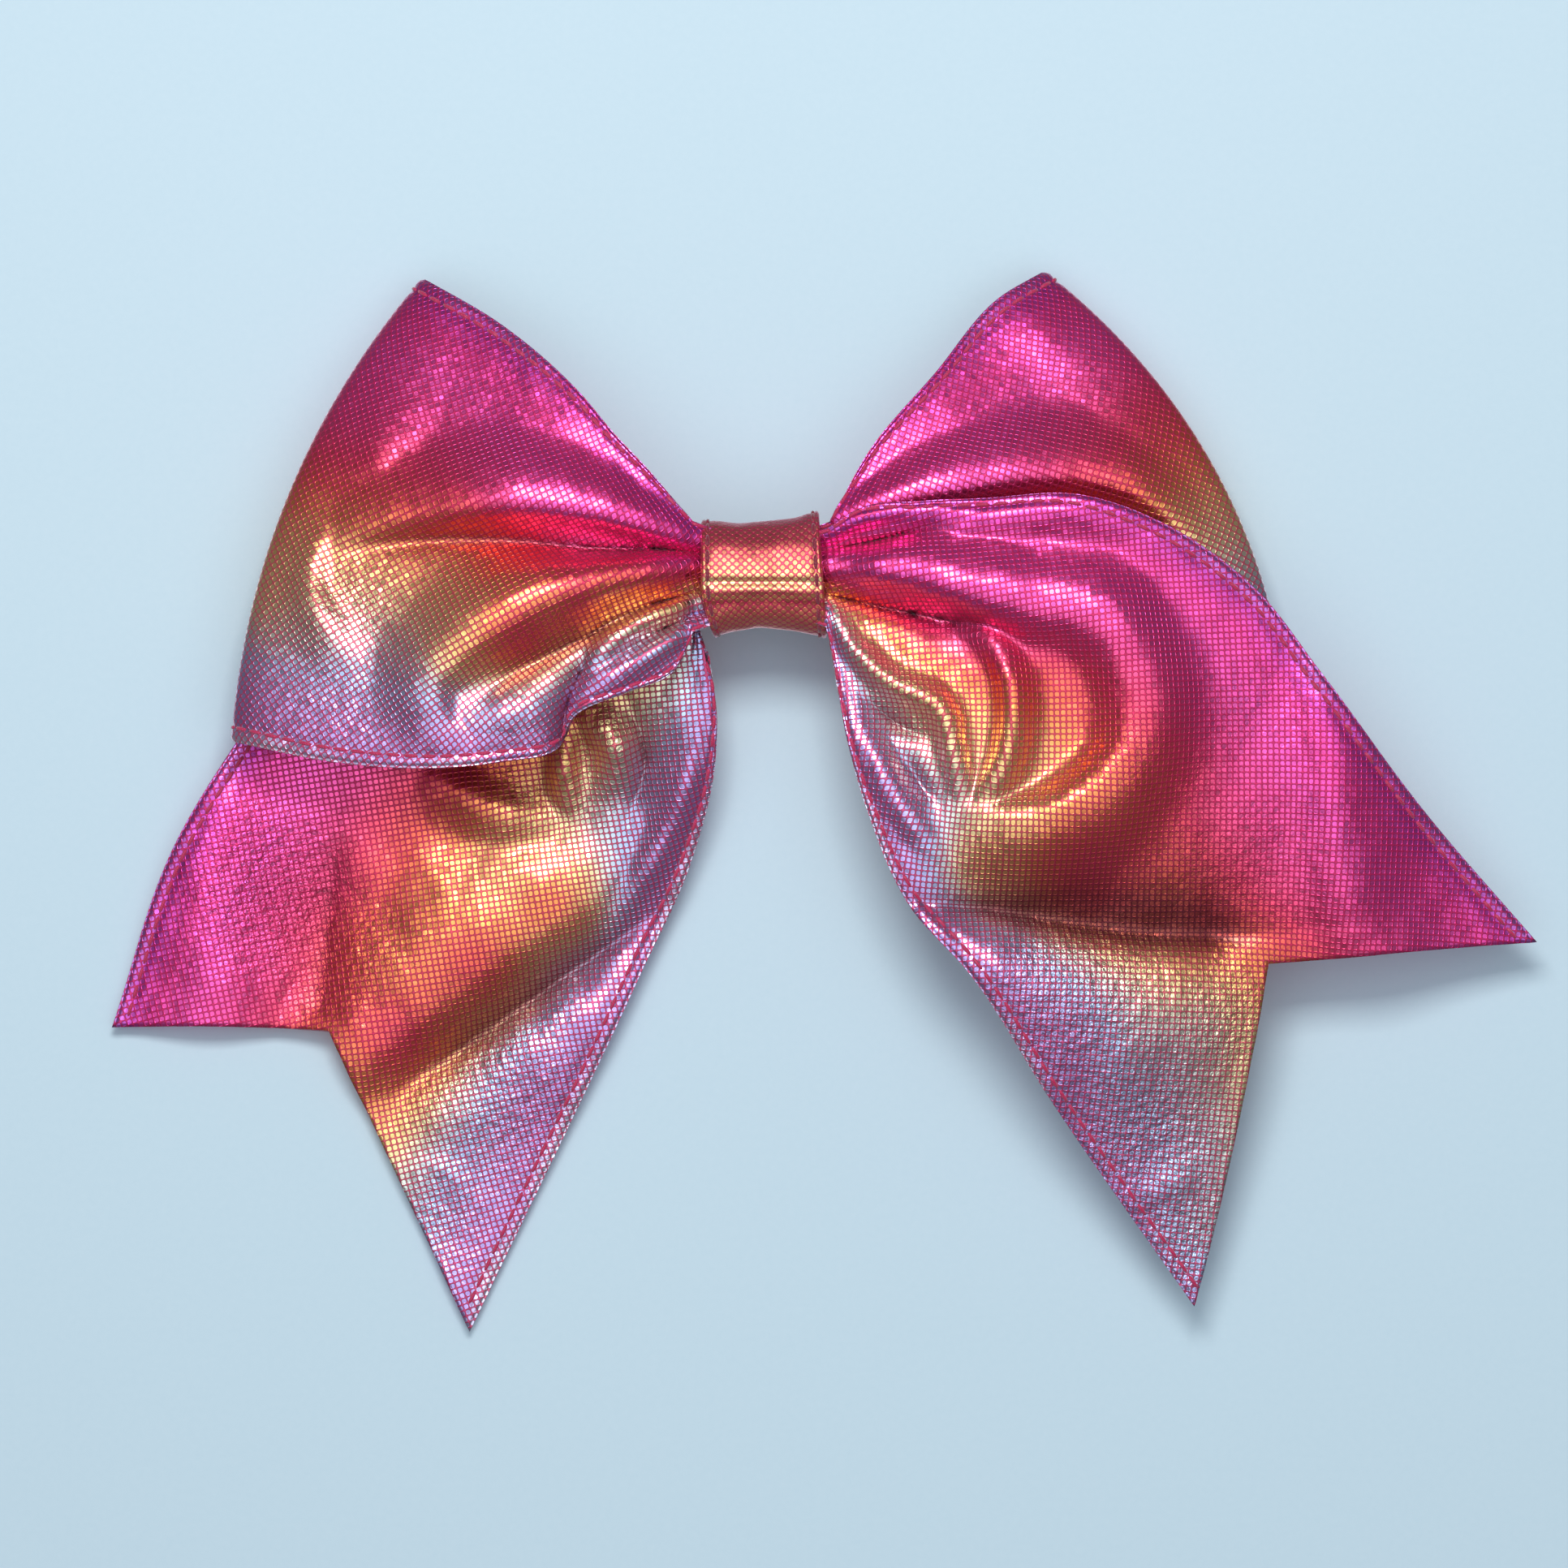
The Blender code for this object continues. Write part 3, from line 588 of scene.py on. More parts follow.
def tail_panel(outer, inner, notch, distances, levels, drawn, layer, seed, print_bands):
    """The middle surface of a tail.

    The point of its V-cut lies at the notch's shares of the width and the length. Its levels are given at
    distances from the knot, and layer is its level inside the knot.
    """
    notch_across, notch_along = notch
    lines = hem_lines()
    lines[np.argmin(np.abs(lines - notch_across))] = notch_across
    across = lines[None, :]
    from_tip = np.where(across < notch_across, across / notch_across, (1 - across) / (1 - notch_across))
    reach = 1 - (1 - notch_along) * from_tip
    steps = np.linspace(0, 1, int(TAIL_REACH / GRID))[:, None]
    share = steps * reach
    across = np.tile(across, (len(steps), 1))
    flat = between(outer, inner, share, across)
    # the second value is painted shade for deep creases
    drapes, painted_crease_shade = folds(flat, drawn)
    height = through(distances, levels, np.linalg.norm(flat, axis=-1)) + drapes
    height = np.maximum(height + waves(share * 125, across, TAIL_WAVES, seed), LOWEST)
    flat, height = mouth_rows(flat, height, layer)
    return Panel(flat, height, held(across, MOUTH_ROWS), held(painted_crease_shade, MOUTH_ROWS), print_bands)


# Meshes


def mesh_object(name, points, faces, materials, uvs=None, slots=None):
    """A smooth mesh. uvs gives each point its places on the ribbon and the flat cloth, its crinkling and its
    painted crease shade.
    """
    mesh = bpy.data.meshes.new(name)
    mesh.from_pydata(np.asarray(points, float).tolist(), [], faces)
    mesh.polygons.foreach_set("use_smooth", [True] * len(mesh.polygons))
    for made in materials:
        mesh.materials.append(made)
    if slots is not None:
        mesh.polygons.foreach_set("material_index", slots)
    if uvs is not None:
        index = np.zeros(len(mesh.loops), int)
        mesh.loops.foreach_get("vertex_index", index)
        for layer_name, places in zip(("ribbon", "weave", "crinkled"), uvs):
            layer = mesh.uv_layers.new(name=layer_name)
            layer.data.foreach_set("uv", np.asarray(places, float)[index].ravel())
    mesh.update()
    found = bpy.data.objects.new(name, mesh)
    bpy.context.scene.collection.objects.link(found)
    return found


def grid_faces(rows, columns, start, turned):
    number = np.arange(rows * columns).reshape(rows, columns) + start
    corners = [number[:-1, :-1], number[1:, :-1], number[1:, 1:], number[:-1, 1:]]
    quads = np.stack(corners, axis=-1).reshape(-1, 4)
    return quads[:, ::-1] if turned else quads


def sheet(name, outer, inner, uvs, face, edge, turned):
    """One closed sheet between two grids, with its cut ends in a second material."""
    rows, columns = outer.shape[:2]
    number = np.arange(rows * columns).reshape(rows, columns)
    below = rows * columns
    around = np.concatenate([number[0], number[1:, -1], number[-1, -2::-1], number[-2:0:-1, 0]])
    after = np.roll(around, -1)
    rim = np.stack([around, after, after + below, around + below], axis=-1)
    if turned:
        rim = rim[:, ::-1]
    front = grid_faces(rows, columns, 0, turned)
    back = grid_faces(rows, columns, below, not turned)
    faces = np.concatenate([front, back, rim])
    row, next_row = around // columns, after // columns
    cut = ((row == next_row) & ((row == 0) | (row == rows - 1))).astype(int)
    slots = [0] * (len(faces) - len(rim)) + cut.tolist()
    points = np.concatenate([outer.reshape(-1, 3), inner.reshape(-1, 3)])
    places = [np.concatenate([place.reshape(-1, 2)] * 2) for place in uvs]
    return mesh_object(name, points, faces.tolist(), [face, edge], places, slots)


def ply_offset(panel):
    """How far a ply's face stands off the middle surface: rolled in at the hems, drawn down at the seams."""
    from_hem = np.minimum(panel.v, RIBBON_WIDTH - panel.v)
    drawn_down = 0.2 * bell(from_hem - SEAM_INSET, 0.7)
    puffed = 0.12 * bell(from_hem - 1.2, 0.6)
    return PLY_FACE * rolled_edge(from_hem, HEM_RADIUS, 0.0025) - drawn_down + puffed


def plies(panel, names, turned):
    """The two plies of a panel, outside first: a sheet on each side of its middle surface."""
    made = []
    ribbon = np.stack([panel.u, panel.tint], axis=-1)
    uvs = [ribbon, panel.weave, panel.crinkled]
    for name, way in zip(names, (1, -1)):
        face = panel.points + panel.normal * (ply_offset(panel) * way * MM)[..., None]
        core = panel.points + panel.normal * (PLY_CORE * way * MM)
        found = sheet(name + "_visual", face, core, uvs, CLOTH, EDGE, turned if way > 0 else not turned)
        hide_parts(name)
        made.append(found)
    return made


def stitch_mesh(name, stitches, made):
    """Separate stitches, each a round thread that thins towards its two ends."""
    points, faces = [], []
    sides = 6
    thinning = 0.45
    for centre_line, normal in stitches:
        rows = len(centre_line)
        across = unit(np.cross(unit(np.gradient(centre_line, axis=0)), normal))
        start = len(points)
        for i in range(rows):
            ends = abs(2 * i / (rows - 1) - 1)
            radius = THREAD * MM * (1 - thinning * ends**4)
            for k in range(sides):
                a = 2 * math.pi * k / sides
                points.append(centre_line[i] + radius * (math.cos(a) * across[i] + math.sin(a) * normal[i]))
        for i in range(rows - 1):
            for k in range(sides):
                a, b = start + i * sides + k, start + i * sides + (k + 1) % sides
                faces.append([a, b, b + sides, a + sides])
        faces.append([start + k for k in range(sides)][::-1])
        faces.append([start + (rows - 1) * sides + k for k in range(sides)])
    return mesh_object(name, points, faces, [made])


def stitch_run(line, normals, shift):
    """Stitches of one length along a line on the cloth's face, each rising from it and dipping back."""
    length = np.concatenate([[0], np.cumsum(np.linalg.norm(np.diff(line, axis=0), axis=1))]) / MM
    arch = np.sin(np.linspace(0, math.pi, 7)) ** 0.6
    rise = (0.18 * arch - 0.08) * MM
    stitches = []
    for start in np.arange(shift, length[-1] - STITCH - THREAD, STITCH_STEP):
        at = start + np.linspace(0, STITCH, 7)
        middle = np.stack([np.interp(at, length, line[:, k]) for k in range(3)], axis=-1)
        up = unit(np.stack([np.interp(at, length, normals[:, k]) for k in range(3)], axis=-1))
        stitches.append((middle + up * rise[:, None], up))
    return stitches


def topstitching(panel, name, share, rows):
    """Stitches along a line at one share across the ribbon, on both faces."""
    column = int(np.argmin(np.abs(panel.across[0] - share)))
    middle = panel.points[rows, column]
    normal = panel.normal[rows, column]
    offset = ply_offset(panel)[rows, column][:, None] * MM
    front = stitch_run(middle + normal * offset, normal, 0.4)
    back = stitch_run(middle - normal * offset, -normal, 0.4 + STITCH_STEP / 2)
    found = stitch_mesh(name + "_visual", front + back, THREAD_RED)
    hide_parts(name)
    return found


# Materials


def linear(red, green, blue):
    """A colour given as 0 to 255 display values, in the linear values that shaders take."""
    values = []
    for value in (red, green, blue):
        share = value / 255
        values.append(share / 12.92 if share <= 0.04045 else ((share + 0.055) / 1.055) ** 2.4)
    return (*values, 1)


class Nodes:
    """Short calls for building the node tree of a material or a world."""

    def __init__(self, owner):
        self.owner = owner
        owner.use_nodes = True
        self.tree = owner.node_tree
        self.tree.nodes.clear()

    def add(self, kind, **settings):
        node = self.tree.nodes.new(kind)
        for key, value in settings.items():
            setattr(node, key, value)
        return node

    def link(self, source, target):
        self.tree.links.new(source, target)

    def feed(self, socket, value):
        if hasattr(value, "is_linked"):
            self.link(value, socket)
        else:
            socket.default_value = value

    def uv(self, layer):
        return self.add("ShaderNodeUVMap", uv_map=layer).outputs[0]

    def object_place(self):
        return self.add("ShaderNodeTexCoord").outputs["Object"]

    def math(self, operation, a, b=0.0):
        node = self.add("ShaderNodeMath", operation=operation)
        self.feed(node.inputs[0], a)
        self.feed(node.inputs[1], b)
        return node.outputs[0]

    def vector(self, operation, a, b=(0, 0, 0)):
        node = self.add("ShaderNodeVectorMath", operation=operation)
        self.feed(node.inputs[0], a)
        self.feed(node.inputs[1], b)
        return node.outputs[0]

    def parts(self, vector):
        node = self.add("ShaderNodeSeparateXYZ")
        self.link(vector, node.inputs[0])
        return list(node.outputs)

    def combine(self, x, y, z=0.0):
        node = self.add("ShaderNodeCombineXYZ")
        for socket, value in zip(node.inputs, (x, y, z)):
            self.feed(socket, value)
        return node.outputs[0]

    def span(self, value, low, high, to_low=0.0, to_high=1.0):
        node = self.add("ShaderNodeMapRange", interpolation_type="SMOOTHSTEP")
        self.feed(node.inputs["Value"], value)
        for key, limit in {"From Min": low, "From Max": high, "To Min": to_low, "To Max": to_high}.items():
            node.inputs[key].default_value = limit
        return node.outputs[0]

    def mix(self, share, a, b, blend="MIX"):
        """Two colours mixed. The node's colour sockets are its seventh and eighth inputs and third output."""
        node = self.add("ShaderNodeMix", data_type="RGBA", blend_type=blend)
        self.feed(node.inputs["Factor"], share)
        self.feed(node.inputs[6], a)
        self.feed(node.inputs[7], b)
        return node.outputs[2]

    def ramp(self, value, stops):
        node = self.add("ShaderNodeValToRGB")
        self.feed(node.inputs[0], value)
        ramp = node.color_ramp
        while len(ramp.elements) > 1:
            ramp.elements.remove(ramp.elements[-1])
        for position, *colour in stops:
            if position == 0:
                ramp.elements[0].position = 0
                ramp.elements[0].color = linear(*colour)
            else:
                ramp.elements.new(position).color = linear(*colour)
        return node.outputs[0]

    def noise(self, vector, scale, detail, roughness):
        node = self.add("ShaderNodeTexNoise")
        self.feed(node.inputs["Vector"], vector)
        for key, value in {"Scale": scale, "Detail": detail, "Roughness": roughness}.items():
            node.inputs[key].default_value = value
        return node.outputs[0]

    def bump(self, height, strength, distance):
        """A normal tilted by relief whose full height is the distance, in metres."""
        node = self.add("ShaderNodeBump")
        self.link(height, node.inputs["Height"])
        node.inputs["Strength"].default_value = strength
        node.inputs["Distance"].default_value = distance
        return node.outputs[0]

    def shader(self, colour, roughness, metallic=0.0, normal=None, **more):
        """A principled surface. more holds its other inputs by name, with underscores for spaces."""
        node = self.add("ShaderNodeBsdfPrincipled")
        self.feed(node.inputs["Base Color"], colour)
        self.feed(node.inputs["Roughness"], roughness)
        self.feed(node.inputs["Metallic"], metallic)
        for key, value in more.items():
            self.feed(node.inputs[key.replace("_", " ")], value)
        if normal is not None:
            self.link(normal, node.inputs["Normal"])
        return node.outputs[0]

    def blend(self, share, first, second):
        """Two surfaces blended, all of the second where share is 1."""
        node = self.add("ShaderNodeMixShader")
        for socket, value in zip(node.inputs, (share, first, second)):
            self.feed(socket, value)
        return node.outputs[0]

    def output(self, surface, kind="ShaderNodeOutputMaterial"):
        self.link(surface, self.add(kind).inputs["Surface"])
        return self.owner


# The print's colours, with some painted light, from the ribbon's upper hem to its lower one: share of the
# width, red, green and blue

OMBRE_AND_HEM_HIGHLIGHT = [
    (0.0, 190, 120, 204), (0.03, 206, 78, 188), (0.09, 255, 80, 172), (0.17, 255, 90, 182),
    (0.26, 255, 84, 154), (0.35, 255, 84, 106), (0.43, 255, 112, 80), (0.51, 255, 160, 84),
    (0.59, 255, 208, 128), (0.66, 244, 226, 166), (0.73, 214, 222, 206), (0.81, 184, 210, 244),
    # the last stop is lighter than the print: a painted highlight along the lower hem's rolled edge
    (0.90, 188, 176, 232), (0.965, 184, 160, 222), (1.0, 222, 220, 244),
]
# The wrap's ramp is partly print, partly painted light: the gold bands from about 0.47 to 0.58 and at 0.66 are
# painted highlights, the darker bands at 0.62 and 0.70 are painted shade, and the stops at 0.80 and 0.92 are
# painted lighter where the wrap's lower side faces away from the lamp.
WRAP_OMBRE_AND_PAINTED_LIGHT = [
    (0.0, 220, 130, 140), (0.10, 216, 116, 108), (0.20, 206, 108, 92), (0.32, 200, 114, 84),
    (0.41, 216, 138, 92), (0.47, 240, 170, 110), (0.52, 255, 224, 150), (0.58, 255, 214, 140),
    (0.62, 214, 122, 92), (0.66, 250, 186, 116), (0.70, 196, 88, 72), (0.80, 250, 160, 112),
    (0.92, 236, 150, 120), (1.0, 170, 140, 168),
]
CRIMSON = linear(196, 26, 86)
GRAZING_TINT = linear(170, 134, 170)
# painted shade: the dark colours that foil and knit turn to in deep creases
CREASE_SHADE_FOIL = linear(120, 20, 40)
CREASE_SHADE_KNIT = linear(80, 8, 26)


def dot_grid(n, weave):
    """The dots' grid, at 45 degrees to the hems: each dot's cell, and the distance from its middle."""
    x, y, _ = n.parts(weave)
    rows = [n.math("DIVIDE", n.math(way, x, y), DOT_PITCH * math.sqrt(2)) for way in ("ADD", "SUBTRACT")]
    cell = n.combine(*[n.math("FLOOR", row) for row in rows])
    off = [n.math("ABSOLUTE", n.math("SUBTRACT", n.math("FRACT", row), 0.5)) for row in rows]
    cubes = n.math("ADD", *[n.math("POWER", part, 3.0) for part in off])
    return cell, n.math("POWER", cubes, 1 / 3)


def printed_and_painted_tint(n, ombre_and_painted_light, drifting):
    """The foil's colour across the ribbon, from a ramp that holds print and painted light: it wanders by
    drifting shares of the width, and greys aslant.
    """
    ribbon = n.uv("ribbon")
    drift = n.math("MULTIPLY", n.math("SUBTRACT", n.noise(ribbon, 0.05, 2, 0.5), 0.5), drifting)
    share = n.math("ADD", n.math("DIVIDE", n.parts(ribbon)[1], RIBBON_WIDTH), drift)
    facing = n.add("ShaderNodeLayerWeight")
    facing.inputs["Blend"].default_value = 0.5
    grazing = n.span(facing.outputs["Facing"], 0.45, 0.95, 0, 0.5)
    return n.mix(grazing, n.ramp(share, ombre_and_painted_light), GRAZING_TINT)


def foil_cloth(name, ombre_and_painted_light, drifting, roughness):
    """Crimson knit printed with foil dots whose colour runs across the ribbon, worn and crinkled, with painted
    shade in deep creases.
    """
    n = Nodes(bpy.data.materials.new(name))
    weave = n.uv("weave")
    # the crinkled map's second channel is painted shade for deep creases
    crinkled, painted_crease_shade, _ = n.parts(n.uv("crinkled"))
    painted_crease_shade = n.math("MULTIPLY", painted_crease_shade, 0.92)
    cell, radius = dot_grid(n, weave)
    wear = n.noise(weave, 0.5, 5, 0.65)
    worn = n.math("MULTIPLY", n.math("SUBTRACT", wear, 0.5), 0.10)
    dot = n.span(n.math("ADD", radius, worn), 0.45, 0.35)
    tint = printed_and_painted_tint(n, ombre_and_painted_light, drifting)

    random = n.add("ShaderNodeTexWhiteNoise", noise_dimensions="2D")
    n.link(cell, random.inputs["Vector"])
    scatter = n.vector("SUBTRACT", random.outputs["Color"], (0.5, 0.5, 0.5))
    scatter = n.vector("MULTIPLY", scatter, (0.13, 0.13, 0.13))
    crinkle = n.math("MULTIPLY", n.noise(weave, 0.6, 4, 0.62), crinkled)
    relief = n.bump(n.math("ADD", crinkle, n.math("MULTIPLY", dot, 0.06)), 1.0, 0.0008)
    tilted = n.vector("NORMALIZE", n.vector("ADD", relief, scatter))

    bright = n.math("ADD", 0.94, n.math("MULTIPLY", random.outputs["Value"], 0.2))
    shine = n.mix(1.0, tint, n.combine(bright, bright, bright), blend="MULTIPLY")
    # painted shade: the foil darkened in deep creases
    shine = n.mix(painted_crease_shade, shine, CREASE_SHADE_FOIL)
    gloss = n.span(wear, 0.3, 0.7, roughness, roughness + 0.1)
    foil = n.shader(shine, gloss, 1.0, tilted, Coat_Weight=0.5, Coat_Roughness=roughness)
    backing = n.shader(n.mix(0.3, CRIMSON, tint), 0.6, 0.0, relief)
    # painted shade: the knit darkened in deep creases
    ground = n.mix(painted_crease_shade, n.mix(0.12, CRIMSON, tint), CREASE_SHADE_KNIT)
    knit = n.shader(ground, 0.42, 0.55, relief, Sheen_Weight=0.1, Sheen_Roughness=0.4)
    return n.output(n.blend(dot, knit, n.blend(0.92, backing, foil)))


def darker(colour, share):
    return (*(share * part for part in colour[:3]), 1)


def thread_material(name, colour):
    """Twisted polyester thread."""
    n = Nodes(bpy.data.materials.new(name))
    place = n.object_place()
    twist = n.add("ShaderNodeTexWave", wave_type="BANDS", bands_direction="DIAGONAL")
    n.link(place, twist.inputs["Vector"])
    twist.inputs["Scale"].default_value = 1500
    twist.inputs["Distortion"].default_value = 1.5
    fibres = n.noise(place, 4000, 3, 0.6)
    shade = n.mix(n.math("MULTIPLY", fibres, 0.5), colour, darker(colour, 0.45))
    relief = n.bump(twist.outputs["Fac"], 0.6, 0.00006)
    return n.output(n.shader(shade, 0.5, 0.0, relief, Sheen_Weight=0.4))


def edge_material():
    """Knit seen end on at a cut or turned edge: matte crimson fibres."""
    n = Nodes(bpy.data.materials.new("cut_cloth_edge"))
    fibres = n.noise(n.object_place(), 3000, 4, 0.7)
    colour = n.mix(fibres, linear(90, 8, 50), linear(190, 30, 100))
    return n.output(n.shader(colour, 0.85, Sheen_Weight=0.5))


def steel_material(name, colour, grain):
    """Brushed metal, with fine lines along the clip and cloudy tarnish."""
    n = Nodes(bpy.data.materials.new(name))
    place = n.object_place()
    lines = n.noise(n.vector("MULTIPLY", place, (1, 12, 12)), grain, 4, 0.6)
    tarnish = n.noise(place, 120, 3, 0.5)
    tone = n.mix(n.math("MULTIPLY", tarnish, 0.5), colour, darker(colour, 0.6))
    relief = n.bump(lines, 0.15, 0.00004)
    return n.output(n.shader(tone, n.span(lines, 0.3, 0.7, 0.2, 0.36), 1.0, relief))


def glue_material():
    """Set hot glue: cloudy, lumpy and slightly clear."""
    n = Nodes(bpy.data.materials.new("hot_glue"))
    place = n.object_place()
    colour = n.mix(n.noise(place, 500, 3, 0.6), linear(206, 196, 170), linear(180, 164, 130))
    relief = n.bump(n.noise(place, 260, 2, 0.5), 0.4, 0.0003)
    return n.output(n.shader(colour, 0.28, 0.0, relief, Transmission_Weight=0.25))


def floor_material():
    """Pale blue-white paper, see-through from below so that the bow's back can be looked at."""
    n = Nodes(bpy.data.materials.new("pale_floor"))
    fibres = n.noise(n.object_place(), 900, 3, 0.6)
    paper = n.shader(n.mix(fibres, linear(197, 221, 232), linear(203, 225, 235)), 0.6)
    clear = n.add("ShaderNodeBsdfTransparent").outputs[0]
    path = n.add("ShaderNodeLightPath")
    unseen = n.math("MAXIMUM", path.outputs["Is Shadow Ray"], path.outputs["Is Glossy Ray"])
    unseen = n.math("MAXIMUM", unseen, n.add("ShaderNodeNewGeometry").outputs["Backfacing"])
    return n.output(n.blend(unseen, paper, clear))


# the ribbon's cloth, whose ramp holds a painted highlight at the lower hem
CLOTH = foil_cloth("foil_dot_cloth", OMBRE_AND_HEM_HIGHLIGHT, 0.10, 0.25)
# the wrap's cloth, whose ramp holds painted highlight and shade bands
WRAP_CLOTH = foil_cloth("foil_dot_wrap", WRAP_OMBRE_AND_PAINTED_LIGHT, 0.04, 0.38)
EDGE = edge_material()
THREAD_RED = thread_material("crimson_thread", linear(206, 30, 92))
THREAD_DARK = thread_material("dark_crimson_thread", linear(142, 14, 52))


# The loops and tails


def build_panel(panel, body, ply_names, side, stitched):
    """A loop's or tail's plies and topstitching.

    ply_names has the outside ply first. side is below 0 for a panel left of the knot, and turns its faces.
    stitched is the run of grid rows that carries stitches.
    """
    made = plies(panel, [f"{body}_{ply}" for ply in ply_names], side < 0)
    seam = SEAM_INSET / RIBBON_WIDTH
    for name, share in (("upper", seam), ("lower", 1 - seam)):
        made.append(topstitching(panel, f"{body}_topstitch_{name}", share, stitched))
    slots = [ply.replace("ply", "cloth") for ply in ply_names] + ["thread", "thread"]
    for piece, slot in zip(made, slots):
        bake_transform(piece)


def build_left_loop():
    panel = loop_panel(
        LEFT_LOOP_UPPER,
        LEFT_LOOP_LOWER,
        bulge=6.2,
        middle=(1.75, 2.6, 2.4, 0.4, -2.2, -4.1),
        half=(1.75, 2.8, 4.8, 7.6, 8.4, 8.4),
        settle=10.5,
        drawn=LEFT_LOOP_FOLDS,
        gather=(2, 0.15, 0.8, 1.4),
        layers=(3.5, 0.0),
        seed=11,
        print_bands=(([0, 0.36, 0.43, 0.55, 0.8, 1], [0.02, 0.14, 0.34, 0.53, 0.80, 1]), 42),
    )
    build_panel(panel, "left_loop", ("front_ply", "back_ply"), -1, slice(BARE_ROWS, -BARE_ROWS))


def build_right_loop():
    panel = loop_panel(
        RIGHT_LOOP_UPPER,
        RIGHT_LOOP_LOWER,
        bulge=7.7,
        middle=(-1.75, -1.4, -1.8, -5.0, -7.4, -8.8),
        half=(1.75, 2.2, 3.2, 6.0, 6.8, 6.8),
        settle=6.6,
        drawn=RIGHT_LOOP_FOLDS,
        gather=(2, 0.55, 0.6, 0.8),
        layers=(0.0, -3.5),
        seed=23,
        print_bands=(([0, 0.5, 1], [0.04, 0.26, 1]), 50),
    )
    build_panel(panel, "right_loop", ("back_ply", "front_ply"), 1, slice(BARE_ROWS, -BARE_ROWS))


def build_left_tail():
    panel = tail_panel(
        LEFT_TAIL_OUTER,
        LEFT_TAIL_INNER,
        notch=(0.461, 0.819),
        distances=(0, 12, 24, 32, 46, 62, 85, 140),
        levels=(-3.5, -3.7, -5.9, -8.0, -12.6, -14.8, -16.6, -18.2),
        drawn=LEFT_TAIL_FOLDS,
        layer=-3.5,
        seed=37,
        print_bands=(([0, 0.5, 1], [0, 0.5, 1]), 40),
    )
    build_panel(panel, "left_tail", ("front_ply", "back_ply"), -1, slice(BARE_ROWS, None))


def build_right_tail():
    panel = tail_panel(
        RIGHT_TAIL_OUTER,
        RIGHT_TAIL_INNER,
        notch=(0.455, 0.782),
        distances=(0, 12, 28, 48, 66, 84, 104, 124, 150),
        levels=(3.5, 3.8, 5.6, 5.8, 4.8, 1.6, -4.2, -9.0, -13.0),
        drawn=RIGHT_TAIL_FOLDS,
        layer=3.5,
        seed=53,
        print_bands=(([0, 0.3, 0.46, 0.54, 0.62, 0.8, 1], [0.03, 0.14, 0.25, 0.46, 0.56, 0.76, 1]), 46),
    )
    build_panel(panel, "right_tail", ("front_ply", "back_ply"), 1, slice(BARE_ROWS, None))


build_left_loop()
build_right_loop()
build_left_tail()
build_right_tail()


# The knot


def on_knot(piece, node):
    """The piece takes the place of its CAD node in the knot's body."""
    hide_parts(node)
    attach(piece, "knot")


def wrap_section(angle, along, offset):
    """A point on the wrap. along runs from -1 at its left edge to 1 at its right one; offset is outwards."""
    x = along * WRAP_HALF_LENGTH + 0.15
    top = 8.5 + 0.07 * x + 0.012 * x**2
    bottom = 7.7 + 0.018 * x**2
    tall = np.where(np.sin(angle) > 0, top, bottom) + offset
    deep = (KNOT_HIGH[2] - KNOT_Z) / MM + offset
    y = tall * boxy(np.sin(angle), WRAP_SQUARENESS)
    z = deep * boxy(np.cos(angle), WRAP_SQUARENESS)
    left_lean = 2.0 * np.clip(-y / 9, 0, 1) ** 2
    right_lean = -0.6 * np.clip(y / 9, -1, 1)
    lean = np.where(along < 0, left_lean, right_lean) * np.abs(along)
    return np.stack([x + lean, y, z], axis=-1)


# Ridges and creases pressed along the wrap's front: height, level, slant and width
WRAP_CREASES = ((0.28, -2.8, 0, 0.8), (-0.34, -1.3, 0.05, 0.7), (0.25, 0.4, 0, 1.1), (-0.3, -4.8, 0, 1.0))


def wrap_creases(angle, along):
    """How far the wrap's cloth stands out or in, in millimetres."""
    y = 8.6 * boxy(np.sin(angle), CLOTH_SQUARENESS)
    front = (np.cos(angle) > 0) * 1.0
    creases = sum(tall * bell(y - level + slant * along, width) for tall, level, slant, width in WRAP_CREASES)
    return creases * front + 0.12 * ripple(angle * 9, along * 9.0, 6, 61)


def wrap_grid():
    """The wrap's outer face and its inside, wound once round the knot with its end lapped at the back."""
    lap = math.radians(14)
    first = math.pi - lap
    last = first + 2 * math.pi + 2 * lap
    rows, columns = ((200, 60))
    angle = np.linspace(last, first, rows)[:, None]
    edges = np.linspace(-1, 1, columns)
    along = (edges + 0.12 * np.sin(math.pi * edges))[None, :]
    angle, along = np.broadcast_arrays(angle, along)
    climb = (WRAP_PLY + 0.1) * ease((angle - (last - math.radians(70))) / math.radians(40))
    from_edge = (1 - np.abs(along)) * WRAP_HALF_LENGTH
    half_ply = WRAP_PLY / 2 * rolled_edge(from_edge, 0.7)
    seam = 0.16 * bell(from_edge - WRAP_HEM, 0.45)
    puff = 0.10 * bell(from_edge - 0.5, 0.35)
    middle = climb - WRAP_PLY / 2 + wrap_creases(angle, along) * (1 - np.exp(-from_edge / 1.2))
    outer = wrap_section(angle, along, middle + half_ply - seam + puff)
    inner = wrap_section(angle, along, middle - half_ply)
    return angle, along, outer, inner


